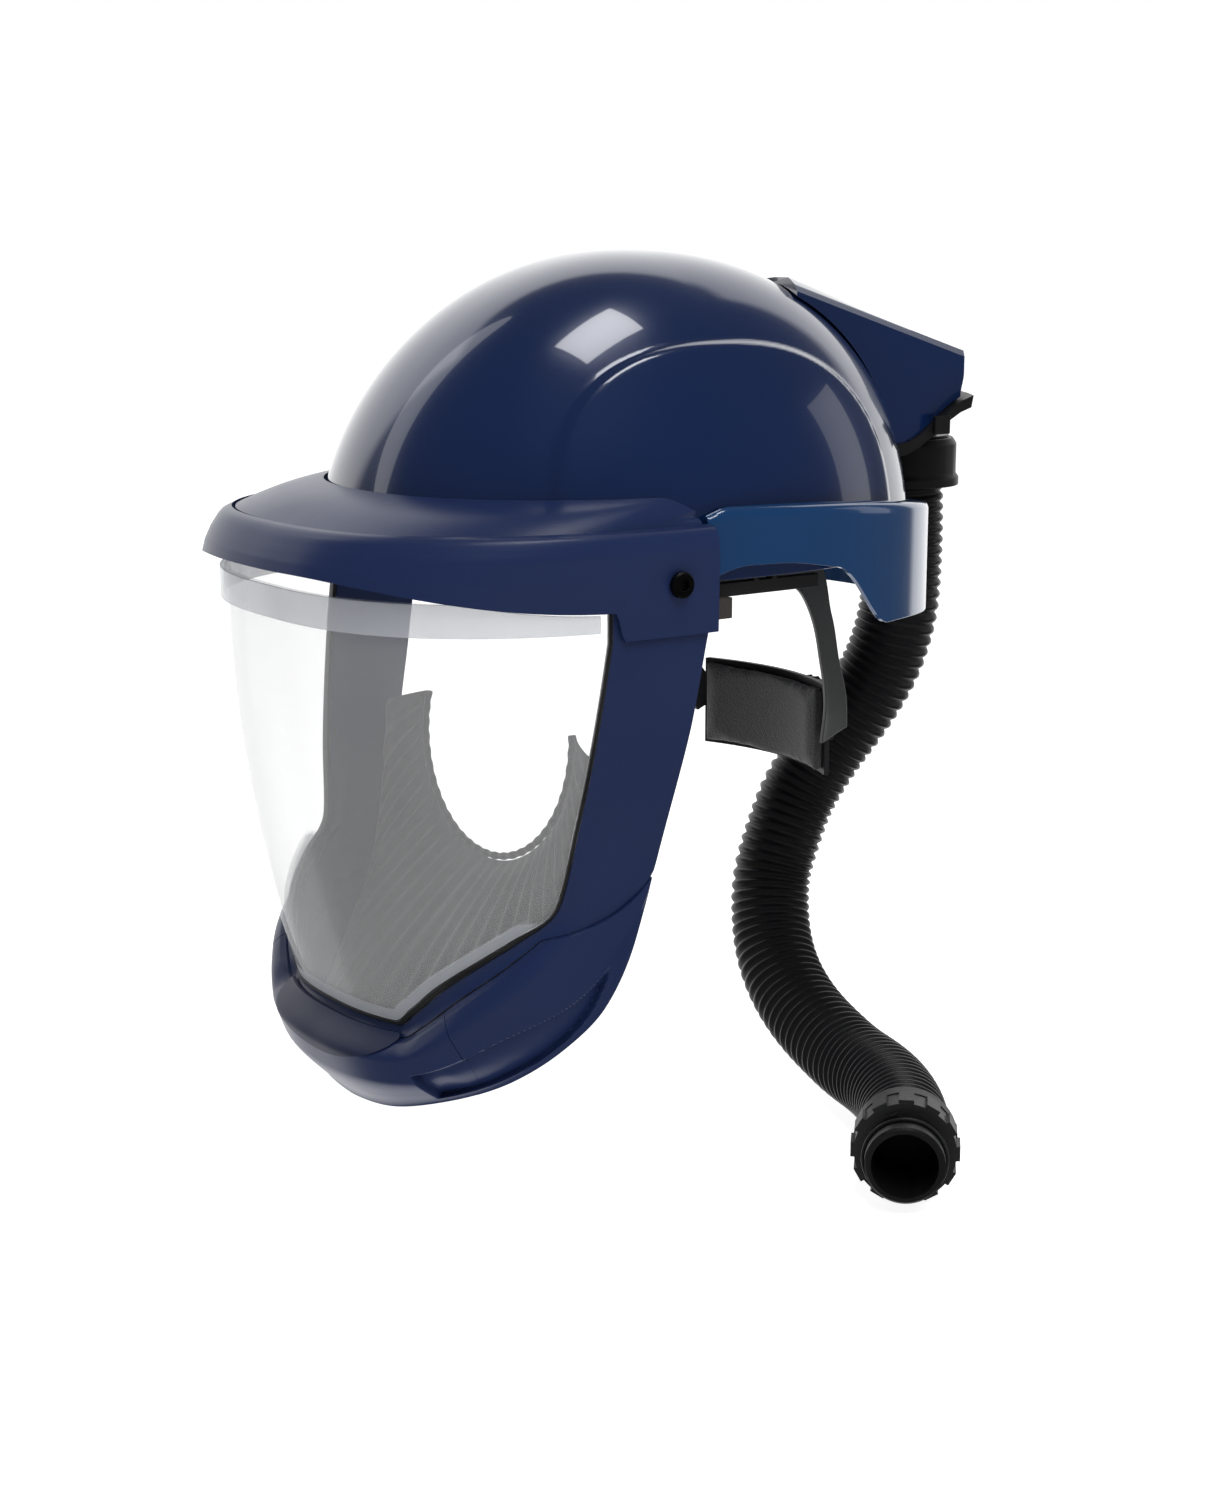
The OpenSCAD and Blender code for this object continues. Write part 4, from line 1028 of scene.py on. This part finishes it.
def cut_round(piece, centre, axis, radius, length):
    """Cuts a round hole through the piece."""
    cutter = added("cutter", bpy.data.meshes.new("cutter"))
    turned = Vector((0, 0, 1)).rotation_difference(Vector(axis)).to_matrix()
    with editing(cutter.data) as edit:
        bmesh.ops.create_cone(edit, cap_ends=True, segments=64, radius1=radius * MM,
                              radius2=radius * MM, depth=length * MM)
        bmesh.ops.rotate(edit, verts=edit.verts, matrix=turned)
        bmesh.ops.translate(edit, verts=edit.verts, vec=Vector(centre) * MM)
    piece.modifiers.clear()
    cut = piece.modifiers.new("hole", "BOOLEAN")
    cut.object, cut.solver = cutter, "EXACT"
    baked(piece)
    bpy.data.objects.remove(cutter)
    return soften(piece)


def brim_loop(inset, share, z):
    i = inset + share * BRIM_LEAN * smooth((brim_side - 14) / 40)
    x, y = oval(BRIM_HW - i, BRIM_REACH - i, BRIM_N, -brim_u)
    return points(x, BRIM_Y + y, z)


def brim_lip(z):
    x, y = oval(LIP_HW, LIP_REACH, BRIM_N, -brim_u)
    return points(x, BRIM_Y + y, z + 0 * x)


def section(keys, steps):
    """Loops between the key loops, so that the surface is fine enough to shade well."""
    keys = np.array(keys)
    return np.concatenate([mix(a[None], b[None], np.linspace(0, 1, n + 1)[:-1, None, None])
                           for a, b, n in zip(keys[:-1], keys[1:], steps)] + [keys[-1:]])


brim_low = brim_foot(brim_u)
brim_out = section([brim_lip(LIP_Z), brim_loop(4, 0.9, LIP_Z - 0.6),
                    brim_loop(2.3, 0.84, LIP_Z - 1.7), brim_loop(1.3, 0.75, LIP_Z - 3.6),
                    brim_loop(0, 0.5, BRIM_TOP), brim_loop(0, 0.2, mix(BRIM_TOP, brim_low, 0.5)),
                    brim_loop(0.3, 0, brim_low)], BRIM_STEPS)
brim_in = section([brim_lip(LIP_Z - SKIN), brim_loop(SKIN + 2, 0.9, LIP_Z - SKIN - 0.4),
                   brim_loop(SKIN + 1.2, 0.84, LIP_Z - SKIN - 1.6),
                   brim_loop(SKIN + 0.6, 0.75, LIP_Z - SKIN - 3.2),
                   brim_loop(SKIN, 0.5, BRIM_TOP - 2),
                   brim_loop(SKIN, 0.2, mix(BRIM_TOP - 2, brim_low, 0.5)),
                   brim_loop(SKIN, 0, brim_low)], BRIM_STEPS)
brim = wall("visor_brim", brim_out, brim_in)
cut_round(brim, (0, HINGE_Y, 0), (1, 0, 0), HINGE_R + RUN_GAP, 2 * BRIM_HW + 10)
dress(brim, navy_satin, "navy_satin", "visor_unit", "brim")

# %% [markdown]
# ## Face seal
# A cloth bib closes the gap between the visor's lower frame and the wearer's cheeks, with an
# elastic hem round the face. It is stretched between two rims, so its surface is a ruled
# sheet with a sag, and fine folds gather it towards the hem. Its UV map is in millimetres of
# cloth, for the weave.

# %% Face seal
FACE_Y, FACE_Z, FACE_HW, FACE_HH = -64.0, -84.0, 62.0, 56.0
FOLDS, SEAL_FROM, SEAL_ROOT = 34, 10, 3.6
GATHERS = FOLDS * 1.5


def face_rim(a, r=0.0):
    return points((FACE_HW + r) * cosd(a), FACE_Y + 6 * sind(a), FACE_Z + (FACE_HH + r) * sind(a))


seal_turn = np.linspace(0, 24, 289)
seal_angle = mix(SEAL_FROM, -180 - SEAL_FROM, seal_turn / 24)
k = np.minimum(seal_turn, 24 - seal_turn)
root_t = SEAL_ROOT + k * (STATIONS - SEAL_ROOT) / 12
root_s = np.where(seal_turn <= 12, root_t, 2 * STATIONS - root_t)
roots = frame_point(root_s, 0.86 + 0 * root_s, -SKIN - 1.6)
rim = face_rim(seal_angle, 2.3)
down = np.linspace(0, 1, 33)[:, None]
fold = 1.3 * sind(seal_angle * GATHERS)[None, :] * (1 - down) ** 0.7 * smooth(down / 0.12)
sag = 9 * sind(180 * down) + fold
cloth = mix(rim[None], roots[None], down[..., None])
cloth_front = cloth + points(0, -0.9 - sag, 0)
cloth_back = cloth + points(0, -sag, 0)
along = np.concatenate([[0], np.cumsum(np.linalg.norm(np.diff(roots, axis=0), axis=1))])
span = np.linalg.norm(roots - rim, axis=1)
cloth_uv = points(along[None, :] + 0 * down, span[None, :] * down)
face_seal = wall("face_seal_cloth", cloth_front, cloth_back, uv=cloth_uv, edge=0)
dress(face_seal, seal_cloth, "seal_cloth", "visor_unit", "face_seal")

# %% Hem
HEM_R, THREAD_RUN, THREAD_TURN = 1.65, 1.6, 0.7
hem_ring = np.linspace(0, 360, 17)[:-1]
hem_angle = np.linspace(SEAL_FROM, -180 - SEAL_FROM, 241)
gather = 0.22 * sind(hem_angle * GATHERS)
hem_loops = np.array([face_rim(a, 0.2 + r * cosd(hem_ring))
                      + points(0, r * sind(hem_ring) - 0.6, 0)
                      for a, r in zip(hem_angle, HEM_R + gather)])


def tube(name, loops):
    """A closed tube through loops of points, with flat ends."""
    rows, cols = loops.shape[:2]
    faces = []
    j = np.arange(cols)
    nxt = (j + 1) % cols
    for i in range(rows - 1):
        a, b = i * cols, (i + 1) * cols
        faces += quads(a + j, b + j, b + nxt, a + nxt)
    faces += [j.tolist(), ((rows - 1) * cols + j)[::-1].tolist()]
    run = np.repeat(np.arange(rows) * THREAD_RUN, cols)
    round_it = np.tile(j * THREAD_TURN, rows)
    return soften(add_mesh(name, loops.reshape(-1, 3), faces, np.c_[run, round_it]), 0, 60)


hem = tube("face_seal_hem", hem_loops)
dress(hem, seal_cloth, "seal_cloth", "visor_unit", "seal_hem")

# %% [markdown]
# ## Headband, straps and nape arms
# Inside the shell a band grips the head, and two webbing straps cross over the crown. The
# nape arms run from the band's ends down to the cradle. Straps are bent strips, so they are
# modelled directly as thin walls: a cloth simulation would lose their woven edges.

# %% Headband and straps
HEAD_W, HEAD_L, HEAD_Y, HEAD_N = 156.0, 196.0, 3.0, 2.1
BAND_LOW, BAND_H, BAND_END, STRAP_T, STRAP_W = -12.0, 30.0, 22.0, 2.0, 20.0
STRAP_FOOT, CROWN_Z, SLACK, STRAP_ROUND = 6.0, 106.0, 1.4, 0.95


def head_point(u, off, z):
    x, y = oval(HEAD_W / 2 + off, HEAD_L / 2 + off, HEAD_N, u)
    return points(x, HEAD_Y + y, z)


band_u = np.linspace(BAND_END, -180 - BAND_END, 193)
levels = np.linspace(0, 1, 9)
ridge = 0.35 * np.exp(-((levels - 0.5) / 0.22) ** 8)
band_out = np.array([head_point(band_u, -r, BAND_LOW + BAND_H * k)
                     for k, r in zip(levels, ridge)])
band_in = np.array([head_point(band_u, -STRAP_T, BAND_LOW + BAND_H * k) for k in levels])
band = wall("head_band", band_out, band_in, edge=0.5)
dress(band, dark_plastic, "dark_plastic", "helmet", "headband")


def strap_arc(a, reach, rise, centre, out):
    """How far along and how high a strap's outline is at these angles."""
    return (centre + (reach + out) * spow(cosd(a), STRAP_ROUND),
            STRAP_FOOT + (rise + out) * np.abs(sind(a)) ** STRAP_ROUND)


def crown_strap(name, reach, rise, centre, across, node):
    """A webbing strap over the head. across turns it from lengthways to sideways."""
    a = np.linspace(0, 180, 121)[None, :]
    w = np.linspace(-STRAP_W / 2, STRAP_W / 2, 13)[:, None]
    swell = 0.35 * (np.abs(w) / (STRAP_W / 2)) ** 6

    def arc(out):
        run, up = strap_arc(a, reach, rise, centre, out)
        return points(-run, w, up) if across else points(w, run, up)

    length = math.pi * (reach + rise) / 2
    uv = points(w + 0 * a, a / 180 * length + 0 * w)
    strap = wall(name, arc(STRAP_T - swell), arc(swell), uv=uv, edge=0.3)
    return dress(strap, webbing, "webbing", "helmet", node)


rise = CROWN_Z - STRAP_FOOT
LENGTHWAYS = (HEAD_L / 2 + SLACK, rise, HEAD_Y, False)
SIDEWAYS = (HEAD_W / 2 + SLACK, rise + STRAP_T + SLACK, 0.0, True)
crown_strap("strap_lengthways", *LENGTHWAYS, "crown_strap_long")
crown_strap("strap_sideways", *SIDEWAYS, "crown_strap_cross")

# %% Nape arms
ARM_X = HEAD_W / 2 + 2.6
ARM_ROUTE = [(ARM_X, 27, 3), (ARM_X, 43, -1), (80.2, 56, -12), (77, 67, -33), (70.5, 77, -54),
             (61, 89, -77), (51, 97, -96)]
ARM_WIDTHS = np.array([22, 22, 17, 11, 11, 14, 17], float)[:, None]
ARM_T = 2.5
arm_t = np.linspace(0, 6, 73)
arm_line = flowing(ARM_ROUTE, arm_t)
turn = np.gradient(arm_line, axis=0)
turn /= np.hypot(turn[:, 1], turn[:, 2])[:, None]
spread = points(0 * arm_t, -turn[:, 2], turn[:, 1]) * flowing(ARM_WIDTHS, arm_t) / 2
across = np.linspace(-1, 1, 13)[:, None, None]
arm_out = arm_line[None] + across * spread[None]
dish = 0.5 * (1 - np.abs(across) ** 4)
arm_left = wall("nape_arm_l", arm_out - dish * np.array([1, 0, 0]),
                arm_out - np.array([ARM_T, 0, 0]), edge=0.6)
arm_right = mirrored("nape_arm_r", arm_left)
for piece, node in ((arm_left, "nape_arm_left"), (arm_right, "nape_arm_right")):
    dress(piece, grey_plastic, "grey_plastic", "nape_cradle", node)

# %% [markdown]
# ## Small moulded parts
# Clips, cuffs, rails, the ratchet and the bayonet end already have the right shape in CAD.
# A copy of each is cleaned up: its loose triangles are joined, flat areas are merged, and
# every sharp edge gets the small radius that a mould leaves.

# %% Small parts
WELD = 0.00001


def refined(node, width):
    """A joined copy of a CAD node, with its edges softened."""
    piece = added(node + "_moulded", frame["nodes"][node].data.copy())
    with editing(piece.data) as edit:
        bmesh.ops.remove_doubles(edit, verts=edit.verts, dist=WELD)
        bmesh.ops.dissolve_limit(edit, angle_limit=math.radians(1), verts=edit.verts,
                                 edges=edit.edges)
    return soften(piece, width, 32)


SMALL_PARTS = [
    (black_plastic, "black_plastic", 0.5,
     ["duct_base", "duct_clips", "hose_cuff_top", "air_spigot", "ratchet_housing",
      "connector_barrel", "ratchet_knob"]),
    (dark_plastic, "dark_plastic", 0.4,
     ["air_channel", "air_outlet", "harness_hooks", "nape_plate", "hose_cuff_end",
      "rail_left", "rail_right", "band_guides"]),
    (ring_grey, "dark_plastic", 0.5, ["grip_ring"]),
    (bracket_grey, "grey_plastic", 0.4, ["side_bracket_left", "side_bracket_right"]),
    (seal_rubber, "black_rubber", 0.15, ["duct_seal", "spigot_oring", "connector_oring"]),
    (bare_steel, "steel", 0.12,
     ["hinge_bushes", "friction_washers", "pinion_shaft", "knob_screw"]),
    (black_steel, "black_steel", 0.2, ["hinge_screws", "cover_screws", "frame_screws"]),
]
body_of_node = {n: b for b, nodes in frame["record"]["behaviour"]["bodies"].items()
                for n in nodes}
for finish, slot, width, nodes in SMALL_PARTS:
    for node in nodes:
        dress(refined(node, width), finish, slot, body_of_node[node], node)

# %% [markdown]
# ## Pads
# The sweatband, crown pad and nape pad are thin foam in a soft cover. A foam pad bulges
# between its edges and rounds off at its corners, so each starts as a slightly thin copy of
# its solid, is remeshed evenly and blown up a little as cloth, and is then smoothed.

# %% Blow up a pad
PAD_VOXEL, PAD_STEPS, PAD_CAP, PAD_SPARE = 2.0, 20, 0.9, 0.6


def blown_pad(node, name):
    low, high = box_mm(node)
    piece = added(name, frame["nodes"][node].data.copy())
    with editing(piece.data) as edit:
        bmesh.ops.remove_doubles(edit, verts=edit.verts, dist=WELD)
    remesh = piece.modifiers.new("even", "REMESH")
    remesh.mode, remesh.voxel_size = "VOXEL", PAD_VOXEL * MM
    baked(piece)
    start = coordinates(piece.data)
    cloth = piece.modifiers.new("cloth", "CLOTH")
    cloth.settings.use_pressure = True
    cloth.settings.uniform_pressure_force = 4
    cloth.settings.effector_weights.gravity = 0
    cloth.settings.quality = 5
    cloth.point_cache.frame_start, cloth.point_cache.frame_end = 1, PAD_STEPS
    for step in range(1, PAD_STEPS + 1):
        bpy.context.scene.frame_set(step)
        bpy.context.view_layer.update()
    baked(piece)
    bpy.context.scene.frame_set(1)
    moved = coordinates(piece.data) - start
    far = np.linalg.norm(moved, axis=1, keepdims=True)
    cap = PAD_CAP * MM
    start = start + moved * np.minimum(1, cap / np.maximum(far, 1e-9))
    print(name, "swelled by up to", round(float(np.minimum(far, cap).max() / MM), 2), "mm")
    with editing(piece.data) as edit:
        for vert, spot in zip(edit.verts, start):
            vert.co = spot
        for _ in range(2):
            bmesh.ops.smooth_vert(edit, verts=edit.verts, factor=0.5, use_axis_x=True,
                                  use_axis_y=True, use_axis_z=True)
        for vert in edit.verts:
            for axis in range(3):
                vert.co[axis] = min(max(vert.co[axis], (low[axis] - PAD_SPARE) * MM),
                                    (high[axis] + PAD_SPARE) * MM)
        bmesh.ops.recalc_face_normals(edit, faces=edit.faces)
    piece.data.shade_smooth()
    finer = piece.modifiers.new("finer", "SUBSURF")
    finer.levels = finer.render_levels = 1
    baked(piece)
    return piece


for node, name, body in [("crown_pad", "crown_cushion", "helmet"),
                         ("sweatband", "brow_pad", "helmet"),
                         ("nape_pad", "nape_cushion", "nape_cradle")]:
    pad = dress(blown_pad(node, name), foam, "foam", body, node)

# %% [markdown]
# ## Stitches
# The straps are sewn where they cross under the crown pad and down both edges. Geometry Nodes
# put one short thread at every step along a line, turned to follow it, and join them all into
# one plain mesh.

# %% Stitch tree
STITCH_L, STITCH_STEP, THREAD_R = 2.2, 3.4, 0.28
stitch_tree = new_tree("stitches", {"Step": 0.003, "Length": 0.002, "Thickness": 0.0003})
add, given, result = tree_ends(stitch_tree)
marks = add("GeometryNodeResampleCurve", {"mode": "LENGTH"},
            {"Curve": given["Geometry"], "Length": given["Step"]})
heading = add("GeometryNodeInputTangent")
facing = add("FunctionNodeAlignRotationToVector", {"axis": "Z"}, {"Vector": heading})
thread = add("GeometryNodeMeshCylinder", {"fill_type": "NGON"},
             {"Vertices": 6, "Radius": given["Thickness"], "Depth": given["Length"]})
laid = add("GeometryNodeInstanceOnPoints", sockets={"Points": marks, "Instance": thread,
                                                    "Rotation": facing})
whole = add("GeometryNodeRealizeInstances", sockets={"Geometry": laid})
result(add("GeometryNodeSetMaterial", sockets={"Geometry": whole,
                                               "Material": material_named("black webbing")}))

# %% Sew the straps
SEAM_OUT, SEAM_LIFT = 7.5, 0.12


def seam_line(reach, rise, centre, across, offset):
    run, up = strap_arc(np.linspace(8, 172, 160), reach, rise, centre, STRAP_T + SEAM_LIFT)
    return points(-run, offset, up) if across else points(offset, run, up)


for name, strap in (("lengthways", LENGTHWAYS), ("sideways", SIDEWAYS)):
    for side, offset in (("a", -SEAM_OUT), ("b", SEAM_OUT)):
        line = line_object("seam", seam_line(*strap, offset))
        seam = grow(f"stitches_{name}_{side}", line, stitch_tree,
                    {"Step": STITCH_STEP, "Length": STITCH_L, "Thickness": THREAD_R})
        dress(seam, webbing, "webbing", "helmet")

# %% [markdown]
# The hose is one flexible piece of a fixed length, and the connector goes with it. The face
# seal is a sheet stretched between the frame and its hem. The cell below only works out the
# hose's route in metres.

# %% Hose route in metres
[tuple(p) for p in hose_line * MM]

# %% [markdown]
# ## Floor and light
# The object stands on a pale floor in a white studio. What makes a dark gloss shell readable
# is what it reflects, so the lights are placed by where their reflections fall: a white wall
# behind, a tall strip at the wearer's right front, a soft box above the left side and another
# strip behind the ear. The rest of the room is kept dim.

# %% Floor
FLOOR_SIZE, FLOOR_GLOW = 12.0, 0.90
floor_z = box_mm("grip_ring")[0][2] * MM - 0.0005
floor = add_mesh("studio_floor", np.array([(-1, -1, 0), (1, -1, 0), (1, 1, 0), (-1, 1, 0)])
                 * FLOOR_SIZE / MM + np.array([0, 0, floor_z / MM]), [(0, 1, 2, 3)])
floor_paint, add, place = new_finish("pale floor")
surface(floor_paint, add, {
    "Base Color": blend_colours(add, noise(add, place, 3, 2), (0.52, 0.52, 0.52),
                                (0.55, 0.55, 0.55)),
    "Roughness": noise(add, place, 8, 2) * 0.1 + 0.8},
    {"Specular IOR Level": 0.1, "Emission Color": (1, 1, 1, 1), "Emission Strength": FLOOR_GLOW})
floor.data.materials.append(floor_paint)
floor.visible_glossy = False

# %% Room
WALL_TOP, WALL_X, WALL_Y = sind(50), -0.895, 0.446
WALL_GLOW, ROOM_GLOW = 1.15, 0.09
world = bpy.data.worlds.new("studio")
bpy.context.scene.world = world
world.use_nodes = True
world.node_tree.nodes.clear()
add = Nodes(world.node_tree)
look = add("ShaderNodeSeparateXYZ", sockets={"Vector": add("ShaderNodeTexCoord", out=0)})
ahead = Value(add, look.socket.node.outputs[1])
up = Value(add, look.socket.node.outputs[2])
level_length = (look * look + ahead * ahead) ** 0.5
behind = ((look * WALL_X + ahead * WALL_Y) / level_length).within(0.55, 0.62)
low = up.within(float(WALL_TOP) + 0.02, float(WALL_TOP) - 0.02)
room = behind * low * WALL_GLOW + ROOM_GLOW
seen = add("ShaderNodeLightPath").within(0.0, 1.0)
level = room * (1 - seen) + seen
background = add("ShaderNodeBackground", sockets={"Color": (1, 1, 1, 1), "Strength": level})
ending = world.node_tree.nodes.new("ShaderNodeOutputWorld")
world.node_tree.links.new(background.socket, ending.inputs["Surface"])
print("room ready")


# %% Lamps
def toward(azimuth, elevation):
    """A direction from the helmet. Azimuth 0 is in front of it and 90 at its left side."""
    return Vector((sind(azimuth) * cosd(elevation), -cosd(azimuth) * cosd(elevation),
                   sind(elevation)))


def lamp(name, start, stop, distance, width, power, shape="RECTANGLE", mirrored_in_gloss=True):
    """A soft box whose long side spans two directions as the helmet sees them."""
    a, b = toward(*start) * distance, toward(*stop) * distance
    data = bpy.data.lights.new(name, "AREA")
    data.shape, data.size, data.size_y, data.energy = shape, width, (b - a).length, power
    light = added(name, data)
    middle = (a + b) / 2
    long_side = (b - a).normalized()
    outward = (middle - long_side * middle.dot(long_side)).normalized()
    across = long_side.cross(outward)
    light.matrix_world = Matrix((across, long_side, outward)).transposed().to_4x4()
    light.location = middle
    light.visible_camera = False
    light.visible_glossy = mirrored_in_gloss
    return light


lamp("front strip", (-38, 4), (-80, 62), 2.2, 0.42, 3.0, shape="ELLIPSE")
lamp("top box", (62, 75), (156, 75), 2.0, 0.50, 9)
lamp("rear strip", (160, -2), (160, 27), 2.2, 0.60, 1.6)
lamp("key", (72, 35), (72, 72), 3.0, 1.8, 62, mirrored_in_gloss=False)
bpy.context.scene.view_settings.view_transform = "Standard"
